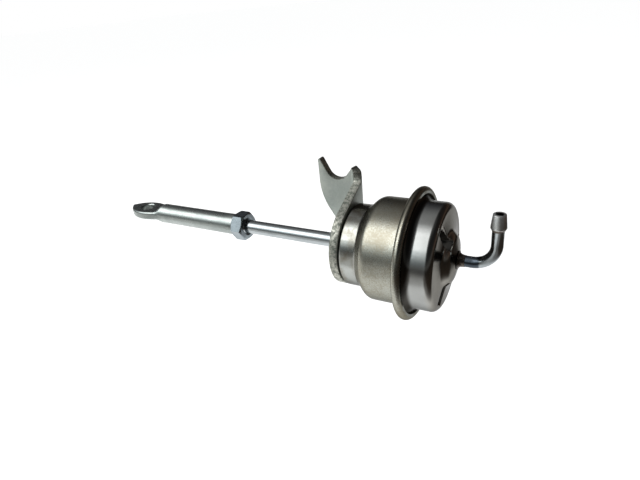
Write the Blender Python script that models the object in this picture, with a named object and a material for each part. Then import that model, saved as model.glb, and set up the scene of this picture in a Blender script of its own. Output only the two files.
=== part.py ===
"""Wastegate actuator: diaphragm can, push rod with screwed rod end, welded bracket, hose nipple.

Run with: blender --background --python part.py
Metres, +Z up. +X runs along the rod towards the hose nipple. The origin is the clamping point
on the outer face of the bracket's ear, just below its notch.
"""
import math

import bmesh
import bpy
from mathutils import Matrix, Vector

MM = 0.001

# Sizes are in millimetres. A station is a distance along the rod's axis from the can's seat on
# the bracket, positive towards the nipple.

# General fits
SEAT_GAP = 0.3
THIN_GAP = 0.1
RUNNING_GAP = 0.05
ROUND_STEPS = 32
SMALL_STEPS = 24

# Bracket, one sheet
SHEET = 3.0
FOOT_R = 14.75
FOOT_SHIFT_Y = 0.48
FOOT_SHIFT_Z = 0.36
FOOT_HOLE_R = 4.6
BEND_INNER_R = 1.5
BEND_START_Y = 8.0
TOP_EDGE_SLOPE = 23.0
EAR_EDGE_SLOPE = 58.3
EAR_LENGTH = 12.7
EAR_EDGE_TOP_Z = 18.5
NOTCH_R = 4.5
NOTCH_X = -9.8
NOTCH_Z = 24.0
NOTCH_FLARE_OUTER = 64.0
NOTCH_FLARE_INNER = 52.0
HORN_TOP_Z = 26.6
HORN_TIP_R = 0.6
BEND_HORN_TOP_Z = 24.15
CLAMP_BELOW_NOTCH = 9.0

# Can body, one drawn sheet
CAN_SHEET = 0.6
CAN_FLOOR_CORNER_R = 1.0
CAN_R = 17.75
NECK_STEP = 3.45
NECK_R = CAN_R - NECK_STEP
NECK_LENGTH = 6.2
SHOULDER_SLOPE = 45.0
SHOULDER_ROUND_R = 3.6
CAN_WALL_END = 20.2
RIM_REACH = 4.45
RIM_R = CAN_R + RIM_REACH
RIM_ROLL_R = 1.4
RIM_STATION = 22.55
RIM_LIP = 2.2
RIM_LIP_R = RIM_R - RIM_LIP

# Cover, one drawn sheet
COVER_SHEET = 0.6
COVER_STEP = 0.15
COVER_R = CAN_R + COVER_STEP
COVER_FOOT_ROUND_R = 1.0
COVER_TOP_ROUND_R = 2.2
COVER_FACE_STATION = 32.25
HUB_FOOT_R = 9.6
HUB_FOOT_RISE = 0.65
HUB_TOP_R = 6.9
HUB_RISE = 2.85
HUB_CROWN = 1.0
GROOVE_COUNT = 3
GROOVE_ANGLE = 118.0
GROOVE_HALF_WIDTH = 2.0
GROOVE_FLAT = 0.45
GROOVE_START_R = 8.2
GROOVE_END_MARGIN = 2.3
GROOVE_END_R = COVER_R - GROOVE_END_MARGIN
GROOVE_BOTTOM = 31.0

# Hose nipple
NIPPLE_R = 1.85
NIPPLE_BORE_R = 1.1
NIPPLE_REACH = 11.1
NIPPLE_BEND_R = 7.0
NIPPLE_HEIGHT = 17.4
NIPPLE_INSET = 1.6
BARB_R = 2.4
BARB_HEIGHT = 4.4
BARB_UNDERCUT = 1.0
BARB_TOP_FLARE = 0.1
BRAZE_R = 3.1
BRAZE_HEIGHT = 2.0

# Rod
ROD_R = 2.65
ROD_THREAD_R = 3.0
ROD_THREAD_START = -46.3
ROD_THREAD_LENGTH = 26.0
ROD_THREAD_CHAMFER = 0.6
ROD_SPIGOT_R = 2.0
ROD_HEAD_R = 3.4
ROD_HEAD_HEIGHT = 1.2

# Jam nut
NUT_FLATS = 10.0
NUT_LENGTH = 5.0
NUT_STATION = -46.2
NUT_CHAMFER_R = 4.75
NUT_CHAMFER_SLOPE = 30.0
NUT_COUNTERSINK_R = 3.6

# Rod end
SLEEVE_R = 4.15
SLEEVE_CHAMFER = 0.4
SLEEVE_BORE_DEPTH = 24.9
EYE_FLAT_START = -94.2
SLEEVE_TAPER = 4.0
SLEEVE_TAPER_START = EYE_FLAT_START + SLEEVE_TAPER
FLAT_TO_HOLE = 7.0
HOLE_TO_WIDEST = 1.4
HOLE_TO_TIP = 9.0
EYE_STATION = EYE_FLAT_START - FLAT_TO_HOLE
EYE_WIDEST_STATION = EYE_STATION + HOLE_TO_WIDEST
EYE_TIP = EYE_STATION - HOLE_TO_TIP
EYE_TIP_POWER = 0.6
EYE_HALF_WIDTH = 5.7
EYE_HALF_THICKNESS = 1.8
EYE_EDGE_ROUND = 0.9
EYE_HOLE_R = 2.9
EYE_HOLE_CHAMFER = 0.35

# Moving stack: rest position, sheets and reach
STROKE = 10.0
CUP_SHEET = 0.8
CUP_TO_CAN = 3.95
CUP_R = CAN_R - CAN_SHEET - CUP_TO_CAN
CUP_SKIRT = 9.0
CUP_ROUND_R = 1.2
PLATE_SHEET = 0.8
PLATE_MARGIN = 1.7
PLATE_R = CUP_R - PLATE_MARGIN
PLATE_DISH = 0.5
WASHER_R = 6.0
WASHER_SHEET = 1.0
RUBBER = 0.8
RUBBER_RIM = 0.5

# Spring seat, bush and seal
SEAT_SHEET = 0.6
SEAT_TO_NECK = 0.7
SEAT_R = NECK_R - CAN_SHEET - SEAT_TO_NECK
SEAT_HAT_R = 7.0
HAT_OVER_FLANGE = 1.4
BUSH_R = 4.2
BUSH_FLANGE_R = SEAT_HAT_R - HAT_OVER_FLANGE
BUSH_FLANGE = 1.0
BUSH_NOSE = 1.0
SEAL_R = 3.6
SEAL_LENGTH = 1.4
CAP_SHEET = 0.5
CAP_SKIRT = 1.0
CAP_HOLE_R = 3.0

# Return spring, midway between the seat's hat and the cup's skirt
SPRING_WIRE_R = 1.0
SPRING_R = (SEAT_HAT_R + CUP_R - CUP_SHEET) / 2
SPRING_TURNS = 6.0
SPRING_DEAD_TURNS = 0.9

# Where the ear's clamping point lies, from the rod's axis and the can's seat
BEND_OUTER_R = BEND_INNER_R + SHEET
EAR_OUTER_Y = BEND_START_Y + BEND_OUTER_R
CLAMP_Z = NOTCH_Z - CLAMP_BELOW_NOTCH
AXIS_ORIGIN = Vector((-NOTCH_X, -EAR_OUTER_Y, -CLAMP_Z)) * MM

# Stations of the moving stack at rest, from the cover's stops inwards
STOP_STATION = GROOVE_BOTTOM - COVER_SHEET
PLATE_TOP = STOP_STATION - SEAT_GAP
RUBBER_TOP = PLATE_TOP - PLATE_SHEET - THIN_GAP
CUP_TOP = RUBBER_TOP - RUBBER - THIN_GAP
CUP_WASHER_TOP = CUP_TOP - CUP_SHEET - THIN_GAP
ROD_SHOULDER = CUP_WASHER_TOP - WASHER_SHEET - THIN_GAP
HEAD_WASHER_TOP = PLATE_TOP + THIN_GAP + WASHER_SHEET

# Stations of the can's rim
FLANGE_TOP = RIM_STATION + RIM_ROLL_R - CAN_SHEET - 1.5 * THIN_GAP
RUBBER_RIM_TOP = FLANGE_TOP - COVER_SHEET - THIN_GAP
RIM_CENTRE_R = RIM_R - RIM_ROLL_R
CLAMPED_R = RIM_CENTRE_R + 0.15


def clear_scene():
    for existing in list(bpy.data.objects):
        bpy.data.objects.remove(existing, do_unlink=True)


def material(name, colour, roughness, metallic):
    made = bpy.data.materials.new(name)
    made.use_nodes = True
    shader = made.node_tree.nodes["Principled BSDF"]
    shader.inputs["Base Color"].default_value = (*colour, 1.0)
    shader.inputs["Roughness"].default_value = roughness
    shader.inputs["Metallic"].default_value = metallic
    return made


def add_piece(name, mesh_builder, finish, parent, smooth_angle=35.0):
    """Turns a bmesh in millimetres on the rod's axis into a named object, in metres."""
    bmesh.ops.scale(mesh_builder, vec=(MM, MM, MM), verts=mesh_builder.verts)
    mesh = bpy.data.meshes.new(name)
    mesh_builder.to_mesh(mesh)
    mesh_builder.free()
    mesh.materials.append(finish)
    mesh.shade_smooth()
    mesh.set_sharp_from_angle(angle=math.radians(smooth_angle))
    piece = bpy.data.objects.new(name, mesh)
    piece.parent = parent
    bpy.context.scene.collection.objects.link(piece)
    return piece


def add_cutter(name, mesh_builder, parent):
    cutter = add_piece(name, mesh_builder, bpy.data.materials["zinc_satin"], parent)
    cutter.hide_render = True
    cutter.display_type = "WIRE"
    return cutter


def cut(piece, cutter, operation="DIFFERENCE"):
    modifier = piece.modifiers.new(cutter.name, "BOOLEAN")
    modifier.object = cutter
    modifier.operation = operation
    modifier.solver = "EXACT"


def arc(centre, radius, start, end, steps):
    """Points on an arc in the (station, radius) plane; angles in degrees from +station."""
    points = []
    for i in range(steps + 1):
        angle = math.radians(start + (end - start) * i / steps)
        points.append((centre[0] + radius * math.cos(angle), centre[1] + radius * math.sin(angle)))
    return points


def offset_path(path, distance):
    """The path moved to its right-hand side by distance, with mitred corners."""
    moved = []
    for i, point in enumerate(path):
        here = Vector(point)
        before = (here - Vector(path[i - 1])).normalized() if i > 0 else None
        after = (Vector(path[i + 1]) - here).normalized() if i < len(path) - 1 else None
        first = before or after
        second = after or before
        normal_one = Vector((first.y, -first.x))
        normal_two = Vector((second.y, -second.x))
        mitre = (normal_one + normal_two).normalized()
        moved.append(tuple(here + mitre * (distance / mitre.dot(normal_one))))
    return moved


def sheet_section(path, thickness):
    """A closed section of a sheet whose one face follows the path; the metal is on its right."""
    return list(path) + list(reversed(offset_path(path, thickness)))


def spun(section, steps=ROUND_STEPS, closed=True, angles=None):
    """Spins (station, radius) points round the X axis into a closed body."""
    builder = bmesh.new()
    verts = [builder.verts.new((station, radius, 0.0)) for station, radius in section]
    edges = [builder.edges.new((verts[i], verts[i + 1])) for i in range(len(verts) - 1)]
    if closed:
        edges.append(builder.edges.new((verts[-1], verts[0])))
    turn_to = angles or [360.0 * (i + 1) / steps for i in range(steps)]
    last = verts + edges
    done = 0.0
    for angle in turn_to:
        result = bmesh.ops.spin(
            builder, geom=last, cent=(0, 0, 0), axis=(1, 0, 0),
            angle=math.radians(angle - done), steps=1, use_merge=False)
        last = result["geom_last"]
        done = angle
    bmesh.ops.remove_doubles(builder, verts=builder.verts, dist=0.001)
    bmesh.ops.recalc_face_normals(builder, faces=builder.faces)
    return builder


def rod_like(section, steps=SMALL_STEPS):
    """A solid of revolution: the section starts and ends on the axis."""
    return spun(section, steps, closed=False)


def ring(inner, outer, start, end, steps=SMALL_STEPS):
    return spun([(start, inner), (end, inner), (end, outer), (start, outer)], steps)


def loft(loops):
    """Bridges a list of closed loops of points, in order, and caps both ends."""
    builder = bmesh.new()
    edge_loops = []
    for loop in loops:
        verts = [builder.verts.new(point) for point in loop]
        count = len(verts)
        edges = [builder.edges.new((verts[i], verts[(i + 1) % count])) for i in range(count)]
        edge_loops.append(edges)
    for one, two in zip(edge_loops, edge_loops[1:]):
        bmesh.ops.bridge_loops(builder, edges=one + two)
    for edges in (edge_loops[0], edge_loops[-1]):
        bmesh.ops.contextual_create(builder, geom=edges)
    bmesh.ops.recalc_face_normals(builder, faces=builder.faces)
    return builder


# Bracket

def arc_length_at_middle():
    return math.pi / 2 * (BEND_INNER_R + SHEET / 2)


def bracket_outline():
    """The flat blank, as (developed width, height). The foot's centre is (0, 0)."""
    bend = arc_length_at_middle()
    ear_start = BEND_START_Y + bend
    ear_end = ear_start + EAR_LENGTH
    notch = Vector((ear_start - NOTCH_X - BEND_OUTER_R, NOTCH_Z))

    # Foot, from the top edge's tangent point round to the ear's lower edge
    top_angle = 90.0 + TOP_EDGE_SLOPE
    lower_angle = 360.0 + EAR_EDGE_SLOPE - 90.0
    foot = Vector((FOOT_SHIFT_Y, FOOT_SHIFT_Z))
    outline = arc(tuple(foot), FOOT_R, top_angle, lower_angle, 26)

    # Ear's lower edge: straight, then an arc that turns it upright at the ear's end
    slope = math.radians(EAR_EDGE_SLOPE)
    normal = Vector((math.sin(slope), -math.cos(slope)))
    corner = Vector((ear_end, EAR_EDGE_TOP_Z))
    edge_r = ((corner - foot).dot(normal) - FOOT_R) / (normal.x - 1.0)
    centre = (ear_end + edge_r * -1.0, EAR_EDGE_TOP_Z)
    outline += arc(centre, edge_r, EAR_EDGE_SLOPE - 90.0, 0.0, 6)

    # Outer horn, rounded at its tip, and down the flare of the notch
    flare = math.radians(NOTCH_FLARE_OUTER)
    tangent = notch + NOTCH_R * Vector((math.sin(flare), -math.cos(flare)))
    tip_centre = Vector((ear_end - HORN_TIP_R, HORN_TOP_Z - HORN_TIP_R))
    outline += arc(tuple(tip_centre), HORN_TIP_R, 0.0, 90.0 + NOTCH_FLARE_OUTER, 5)
    outline += arc(tuple(notch), NOTCH_R, NOTCH_FLARE_OUTER - 90.0, -90.0 - NOTCH_FLARE_INNER, 12)
    assert tangent.y < tip_centre.y

    # Inner horn, on the bend
    flare = math.radians(NOTCH_FLARE_INNER)
    tangent = notch + NOTCH_R * Vector((-math.sin(flare), -math.cos(flare)))
    rise = BEND_HORN_TOP_Z - tangent.y
    horn = Vector((tangent.x - rise / math.tan(flare), BEND_HORN_TOP_Z))
    outline += [(horn.x + 0.35, horn.y - 0.25), (horn.x - 0.15, horn.y), (horn.x - 0.75, horn.y - 0.35)]

    # Down to the straight top edge of the foot
    slope = math.radians(TOP_EDGE_SLOPE)
    start = foot + FOOT_R * Vector((-math.sin(slope), math.cos(slope)))
    for width, lift in ((BEND_START_Y + 1.6, 2.0), (BEND_START_Y + 1.0, 0.75), (BEND_START_Y, 0.1)):
        outline.append((width, start.y + (width - start.x) * math.tan(slope) + lift))
    return outline


def fold(width, height, depth):
    """Where a point of the flat blank lies after bending. depth is 0 on the can's side."""
    bend = arc_length_at_middle()
    if width <= BEND_START_Y:
        return Vector((-depth, width, height))
    radius = BEND_OUTER_R - depth
    centre = Vector((-BEND_OUTER_R, BEND_START_Y, height))
    angle = min(1.0, (width - BEND_START_Y) / bend) * math.pi / 2
    beyond = max(0.0, width - BEND_START_Y - bend)
    return centre + Vector((radius * math.cos(angle) - beyond, radius * math.sin(angle), 0))


def make_bracket(finish, parent):
    builder = bmesh.new()
    face = builder.faces.new([builder.verts.new((x, z, 0)) for x, z in bracket_outline()])
    bend = arc_length_at_middle()
    bend_steps = 6
    for i in range(bend_steps + 1):
        width = BEND_START_Y + bend * i / bend_steps
        bmesh.ops.bisect_plane(
            builder, geom=builder.verts[:] + builder.edges[:] + builder.faces[:],
            plane_co=(width, 0, 0), plane_no=(1, 0, 0), dist=0.001)
    grown = bmesh.ops.extrude_face_region(builder, geom=builder.faces[:])
    for vert in (item for item in grown["geom"] if isinstance(item, bmesh.types.BMVert)):
        vert.co.z += SHEET
    for vert in builder.verts:
        vert.co = fold(vert.co.x, vert.co.y, vert.co.z)
    bmesh.ops.recalc_face_normals(builder, faces=builder.faces)
    bracket = add_piece("mounting_bracket", builder, finish, parent)
    hole = ring_free_rod("bracket_hole", FOOT_HOLE_R, -SHEET - 1, 1, parent)
    cut(bracket, hole)
    return bracket


def ring_free_rod(name, radius, start, end, parent):
    return add_cutter(name, rod_like([(start, 0), (start, radius), (end, radius), (end, 0)]), parent)


# Can, cover and rubber

def can_path():
    """The can's outer face, from the floor's hole to the end of the rolled lip."""
    floor = SEAT_GAP
    corner = CAN_FLOOR_CORNER_R
    path = [(floor, FOOT_HOLE_R)]
    path += arc((floor + corner, NECK_R - corner), corner, 180, 90, 3)
    slope = math.radians(SHOULDER_SLOPE)
    arc_start_r = CAN_R - SHOULDER_ROUND_R * (1 - math.cos(slope))
    arc_start = NECK_LENGTH + (arc_start_r - NECK_R) / math.tan(slope)
    centre = (arc_start + SHOULDER_ROUND_R * math.sin(slope), CAN_R - SHOULDER_ROUND_R)
    path += [(NECK_LENGTH - 0.35, NECK_R), (NECK_LENGTH + 0.3, NECK_R + 0.3)]
    path += arc(centre, SHOULDER_ROUND_R, 90 + SHOULDER_SLOPE, 90, 4)
    foot = Vector((CAN_WALL_END, CAN_R))
    roll = Vector((RIM_STATION, RIM_CENTRE_R))
    reach = roll - foot
    heading = math.degrees(math.atan2(reach.y, reach.x))
    heading += math.degrees(math.asin(RIM_ROLL_R / reach.length))
    path.append(tuple(foot))
    path += arc(tuple(roll), RIM_ROLL_R, 90 + heading, 0, 6)
    path.append((RIM_STATION + RIM_ROLL_R, RIM_LIP_R))
    return path


def cover_face_path():
    """The cover's outer face from its rim to the nipple's hole."""
    foot = COVER_FOOT_ROUND_R
    top = COVER_TOP_ROUND_R
    face = COVER_FACE_STATION
    path = [(FLANGE_TOP, CLAMPED_R)]
    path += arc((FLANGE_TOP + foot, COVER_R + foot), foot, 180, 270, 2)
    path += arc((face - top, COVER_R - top), top, 90, 0, 4)
    hub_start = HUB_FOOT_R + 0.4
    for inward in (0.25, 0.54, 0.82, 1.0):
        radius = COVER_R - top + (hub_start - COVER_R + top) * inward
        path.append((face + HUB_FOOT_RISE * inward ** 1.4, radius))
    foot_station = face + HUB_FOOT_RISE
    path.append((foot_station + 0.35, HUB_FOOT_R - 0.5))
    path += [(face + HUB_RISE - 0.6, HUB_TOP_R + 0.55), (face + HUB_RISE - 0.12, HUB_TOP_R)]
    path += [(face + HUB_RISE + 0.15, HUB_TOP_R - 0.8)]
    path += [(face + HUB_RISE + HUB_CROWN, NIPPLE_R + THIN_GAP)]
    return path


def face_station(radius, path):
    """The cover's outer station at a radius, on the part of the path that faces the nipple."""
    outward = sorted((r, s) for s, r in path if s >= COVER_FACE_STATION - COVER_TOP_ROUND_R)
    for (r_one, s_one), (r_two, s_two) in zip(outward, outward[1:]):
        if r_one <= radius <= r_two and r_two > r_one:
            return s_one + (s_two - s_one) * (radius - r_one) / (r_two - r_one)
    return GROOVE_BOTTOM


def ramp(value, low, high):
    share = min(1.0, max(0.0, (value - low) / (high - low)))
    return share * share * (3 - 2 * share)


def groove_share(along, across):
    """How deep a point lies in a groove, from 0 on the face to 1 at the groove's flat bottom."""
    side = 1.0 - ramp(abs(across), GROOVE_HALF_WIDTH * GROOVE_FLAT, GROOVE_HALF_WIDTH)
    inner = ramp(along, GROOVE_START_R, GROOVE_START_R + 1.0)
    outer = 1.0 - ramp(along, GROOVE_END_R - 1.2, GROOVE_END_R)
    return side * inner * outer


def cover_turns():
    """Angles of the cover's spin steps, close together across each groove."""
    fine = [-14, -9, -6, -3, 0, 3, 6, 9, 14]
    between = [28, 44, 60, 76, 92]
    turns = []
    for i in range(GROOVE_COUNT):
        base = GROOVE_ANGLE + 360.0 * i / GROOVE_COUNT
        turns += [(base + step) % 360.0 for step in fine + between]
    return sorted(turns) + [360.0]


def make_cover(finish, parent):
    path = cover_face_path()
    builder = spun(sheet_section(path, COVER_SHEET), angles=cover_turns())
    for vert in builder.verts:
        if vert.co.x < GROOVE_BOTTOM - COVER_SHEET - 0.5:
            continue
        radius = math.hypot(vert.co.y, vert.co.z)
        angle = math.degrees(math.atan2(vert.co.z, vert.co.y))
        from_groove = (angle - GROOVE_ANGLE + 180.0 / GROOVE_COUNT) % (360.0 / GROOVE_COUNT)
        turn = math.radians(from_groove - 180.0 / GROOVE_COUNT)
        share = groove_share(radius * math.cos(turn), radius * math.sin(turn))
        depth = face_station(radius, path) - GROOVE_BOTTOM
        vert.co.x -= share * max(0.0, depth)
    return add_piece("cover", builder, finish, parent)


def diaphragm_path():
    """The rubber's face on the spring's side, from the clamped rim to the hole in its middle."""
    wall_leg = CAN_R - CAN_SHEET - 2.5 * THIN_GAP
    cup_leg = CUP_R + 1.5 * THIN_GAP
    roll_r = (wall_leg - cup_leg) / 2
    roll_centre = (RUBBER_RIM_TOP - 1.9, (wall_leg + cup_leg) / 2)
    bottom = RUBBER_RIM_TOP - RUBBER_RIM
    path = [(bottom, CLAMPED_R), (bottom, wall_leg + 1.2), (bottom - 0.5, wall_leg + 0.25)]
    path += arc(roll_centre, roll_r, 90, 270, 6)
    corner = CUP_ROUND_R
    inside = RUBBER_TOP - RUBBER
    path += [(inside - corner, cup_leg)]
    path += arc((inside - corner, cup_leg - corner), corner, 90, 0, 2)[1:]
    path += [(inside, ROD_SPIGOT_R + THIN_GAP)]
    return path


def make_diaphragm(finish, parent):
    """Full thickness in the roll and the middle, thinner where the rim is clamped."""
    path = diaphragm_path()
    other_face = []
    for station, radius in offset_path(path, -RUBBER):
        if radius > CAN_R - CAN_SHEET:
            station = min(station, RUBBER_RIM_TOP)
        other_face.append((station, radius))
    section = path + other_face[::-1]
    return add_piece("diaphragm", spun(section, steps=28), finish, parent)


# Moving stack

def cup_path():
    corner = CUP_ROUND_R
    path = [(CUP_TOP, ROD_SPIGOT_R + THIN_GAP)]
    path += arc((CUP_TOP - corner, CUP_R - corner), corner, 0, 90, 3)
    path += [(CUP_TOP - CUP_SKIRT, CUP_R)]
    return path


def plate_path():
    hole = ROD_SPIGOT_R + THIN_GAP
    return [(PLATE_TOP, hole), (PLATE_TOP, PLATE_R - 1.2), (PLATE_TOP - PLATE_DISH * 0.2, PLATE_R)]


def make_stack(zinc, plain, parent):
    add_piece("piston_cup", spun(sheet_section(cup_path(), -CUP_SHEET), 28), plain, parent)
    add_piece("diaphragm_plate", spun(sheet_section(plate_path(), -PLATE_SHEET), 28), zinc, parent)
    hole = ROD_SPIGOT_R + THIN_GAP
    under_cup = ring(hole, WASHER_R, CUP_WASHER_TOP - WASHER_SHEET, CUP_WASHER_TOP)
    add_piece("cup_washer", under_cup, zinc, parent)
    under_head = ring(hole, WASHER_R, HEAD_WASHER_TOP - WASHER_SHEET, HEAD_WASHER_TOP)
    add_piece("head_washer", under_head, zinc, parent)


def make_rod(finish, parent):
    thread_end = ROD_THREAD_START - ROD_THREAD_LENGTH
    chamfer = ROD_THREAD_CHAMFER
    head = HEAD_WASHER_TOP + THIN_GAP
    section = [(thread_end, 0), (thread_end, ROD_THREAD_R - chamfer)]
    section += [(thread_end + chamfer, ROD_THREAD_R), (ROD_THREAD_START - 0.4, ROD_THREAD_R)]
    section += [(ROD_THREAD_START, ROD_R), (ROD_SHOULDER, ROD_R), (ROD_SHOULDER, ROD_SPIGOT_R)]
    section += [(head, ROD_SPIGOT_R), (head, ROD_HEAD_R), (head + ROD_HEAD_HEIGHT * 0.5, ROD_HEAD_R * 0.94)]
    section += [(head + ROD_HEAD_HEIGHT, ROD_HEAD_R * 0.55), (head + ROD_HEAD_HEIGHT, 0)]
    return add_piece("actuator_rod", rod_like(section), finish, parent)


def make_nut(finish, parent):
    """A hexagon with both faces chamfered by a double cone, bored and countersunk."""
    left = NUT_STATION - NUT_LENGTH
    builder = bmesh.new()
    corner_r = NUT_FLATS / 2 / math.cos(math.radians(30))
    turned = Matrix.Rotation(math.radians(90), 4, "Y")
    bmesh.ops.create_cone(
        builder, cap_ends=True, segments=6, radius1=corner_r, radius2=corner_r, depth=NUT_LENGTH,
        matrix=Matrix.Translation((NUT_STATION - NUT_LENGTH / 2, 0, 0)) @ turned)
    nut = add_piece("jam_nut", builder, finish, parent)
    reach = corner_r + 1.0
    slant = (reach - NUT_CHAMFER_R) * math.tan(math.radians(NUT_CHAMFER_SLOPE))
    cone = [(left, 0), (left, NUT_CHAMFER_R), (left + slant, reach)]
    cone += [(NUT_STATION - slant, reach), (NUT_STATION, NUT_CHAMFER_R), (NUT_STATION, 0)]
    cut(nut, add_cutter("nut_chamfers", rod_like(cone), parent), "INTERSECT")
    bore = ROD_THREAD_R + RUNNING_GAP
    sink = NUT_COUNTERSINK_R - bore
    past = 0.5
    tool = [(left - past, 0), (left - past, NUT_COUNTERSINK_R + past), (left + sink, bore)]
    tool += [(NUT_STATION - sink, bore), (NUT_STATION + past, NUT_COUNTERSINK_R + past)]
    tool += [(NUT_STATION + past, 0)]
    cut(nut, add_cutter("nut_bore", rod_like(tool), parent))
    return nut


def eye_half_width(station):
    """Half the rod end's width: the sleeve, widening into the pressed eye and its round tip."""
    if station <= EYE_WIDEST_STATION:
        share = (EYE_WIDEST_STATION - station) / (EYE_WIDEST_STATION - EYE_TIP)
        return EYE_HALF_WIDTH * max(0.0, 1.0 - share * share) ** EYE_TIP_POWER
    share = ramp(station, EYE_WIDEST_STATION, SLEEVE_TAPER_START)
    return EYE_HALF_WIDTH + (SLEEVE_R - EYE_HALF_WIDTH) * share


def rod_end_loop(station, half_width, half_height, corner, steps=SMALL_STEPS):
    """A rounded rectangle square to the rod's axis; corner equal to both halves gives a circle."""
    loop = []
    flat_y = half_width - corner
    flat_z = half_height - min(corner, half_height)
    round_z = half_height - flat_z
    for i in range(steps):
        angle = 2 * math.pi * (i + 0.5) / steps
        y = math.copysign(flat_y, math.cos(angle)) + corner * math.cos(angle)
        z = math.copysign(flat_z, math.sin(angle)) + round_z * math.sin(angle)
        loop.append((station, y, z))
    return loop


def make_rod_end(finish, parent):
    sleeve_start = NUT_STATION - NUT_LENGTH - SEAT_GAP
    loops = []
    for station, radius in (
            (sleeve_start, SLEEVE_R - SLEEVE_CHAMFER), (sleeve_start - SLEEVE_CHAMFER, SLEEVE_R),
            (SLEEVE_TAPER_START, SLEEVE_R)):
        loops.append(rod_end_loop(station, radius, radius, radius))
    taper_steps = 5
    for i in range(1, taper_steps + 1):
        share = i / taper_steps
        station = SLEEVE_TAPER_START + (EYE_FLAT_START - SLEEVE_TAPER_START) * share
        height = SLEEVE_R + (EYE_HALF_THICKNESS - SLEEVE_R) * ramp(share, 0, 1)
        corner = SLEEVE_R + (EYE_EDGE_ROUND - SLEEVE_R) * share
        width = max(eye_half_width(station), corner)
        loops.append(rod_end_loop(station, width, height, corner))
    eye_steps = 14
    for i in range(1, eye_steps):
        share = math.sin(math.pi / 2 * i / eye_steps)
        station = EYE_FLAT_START + (EYE_TIP - EYE_FLAT_START) * share
        width = eye_half_width(station)
        corner = min(EYE_EDGE_ROUND, width * 0.5)
        loops.append(rod_end_loop(station, width, EYE_HALF_THICKNESS, corner))
    rod_end = add_piece("rod_end", loft(loops), finish, parent)
    bore = ROD_THREAD_R + RUNNING_GAP
    tool = [(sleeve_start + 0.5, 0), (sleeve_start + 0.5, bore + 1.0), (sleeve_start - 0.5, bore)]
    tool += [(sleeve_start - SLEEVE_BORE_DEPTH, bore), (sleeve_start - SLEEVE_BORE_DEPTH - 1.5, 0)]
    cut(rod_end, add_cutter("sleeve_bore", rod_like(tool), parent))
    cut(rod_end, eye_cutter(parent))
    return rod_end


def eye_cutter(parent):
    top = EYE_HALF_THICKNESS
    wide = EYE_HOLE_R + EYE_HOLE_CHAMFER
    past = 0.5
    tool = [(-top - past, 0), (-top - past, wide + past), (-top + EYE_HOLE_CHAMFER, EYE_HOLE_R)]
    tool += [(top - EYE_HOLE_CHAMFER, EYE_HOLE_R), (top + past, wide + past), (top + past, 0)]
    builder = rod_like(tool)
    upright = Matrix.Translation((EYE_STATION, 0, 0)) @ Matrix.Rotation(math.radians(-90), 4, "Y")
    bmesh.ops.transform(builder, matrix=upright, verts=builder.verts)
    return add_cutter("eye_hole", builder, parent)


# Nipple

def hub_station():
    return COVER_FACE_STATION + HUB_RISE + HUB_CROWN


def nipple_line():
    """(centre, direction, radius) of each ring of the nipple, from inside the cover to its end."""
    start = hub_station() - NIPPLE_INSET
    riser = hub_station() + NIPPLE_REACH
    bend = NIPPLE_BEND_R
    rings = [(Vector((start, 0, 0)), Vector((1, 0, 0)), NIPPLE_R)]
    bend_steps = 8
    for i in range(bend_steps + 1):
        angle = math.pi / 2 * i / bend_steps
        centre = Vector((riser - bend + bend * math.sin(angle), 0, bend - bend * math.cos(angle)))
        rings.append((centre, Vector((math.cos(angle), 0, math.sin(angle))), NIPPLE_R))
    barb = NIPPLE_HEIGHT - BARB_HEIGHT
    for height, radius in (
            (barb - BARB_UNDERCUT, NIPPLE_R), (barb, BARB_R), (barb + 0.4, BARB_R),
            (NIPPLE_HEIGHT, NIPPLE_R + BARB_TOP_FLARE)):
        rings.append((Vector((riser, 0, height)), Vector((0, 0, 1)), radius))
    return rings


def ring_points(centre, direction, radius, steps=20):
    across = Vector((0, 1, 0))
    other = direction.cross(across)
    points = []
    for i in range(steps):
        angle = 2 * math.pi * i / steps
        points.append(centre + radius * (math.cos(angle) * across + math.sin(angle) * other))
    return points


def make_nipple(finish, parent):
    line = nipple_line()
    nipple = add_piece("hose_nipple", loft([ring_points(*row) for row in line]), finish, parent)
    past = 0.5
    bore = [(centre, direction, NIPPLE_BORE_R) for centre, direction, radius in line]
    bore[0] = (bore[0][0] - past * bore[0][1], bore[0][1], NIPPLE_BORE_R)
    bore[-1] = (bore[-1][0] + past * bore[-1][1], bore[-1][1], NIPPLE_BORE_R)
    bore = bore[:-4] + bore[-1:]
    tool = loft([ring_points(*row, steps=12) for row in bore])
    cut(nipple, add_cutter("nipple_bore", tool, parent))
    return nipple


def make_braze(finish, parent):
    foot = hub_station() + THIN_GAP
    inner = NIPPLE_R + THIN_GAP
    slope = HUB_CROWN / (HUB_TOP_R - NIPPLE_R)
    rim = foot - slope * (BRAZE_R - inner) + 0.1
    section = [(foot, inner), (foot + BRAZE_HEIGHT, inner), (foot + BRAZE_HEIGHT * 0.95, inner + 0.2)]
    section += [(foot + BRAZE_HEIGHT * 0.35, inner + 0.55), (foot + 0.1, BRAZE_R - 0.15)]
    section += [(rim, BRAZE_R)]
    return add_piece("nipple_braze", spun(section, 20), finish, parent)


# Bush, seal, seat and spring

def make_bush(finish, parent):
    bore = ROD_R + RUNNING_GAP
    inside = SEAT_GAP + CAN_SHEET + SEAT_GAP
    nose = -SHEET - BUSH_NOSE
    mouth = SEAL_R + THIN_GAP
    depth = nose + SEAL_LENGTH + 2 * THIN_GAP
    section = [(nose, mouth), (nose, BUSH_R), (inside, BUSH_R), (inside, BUSH_FLANGE_R)]
    section += [(inside + BUSH_FLANGE, BUSH_FLANGE_R), (inside + BUSH_FLANGE, bore), (depth, bore)]
    section += [(depth, mouth)]
    return add_piece("guide_bush", spun(section, SMALL_STEPS), finish, parent)


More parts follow.
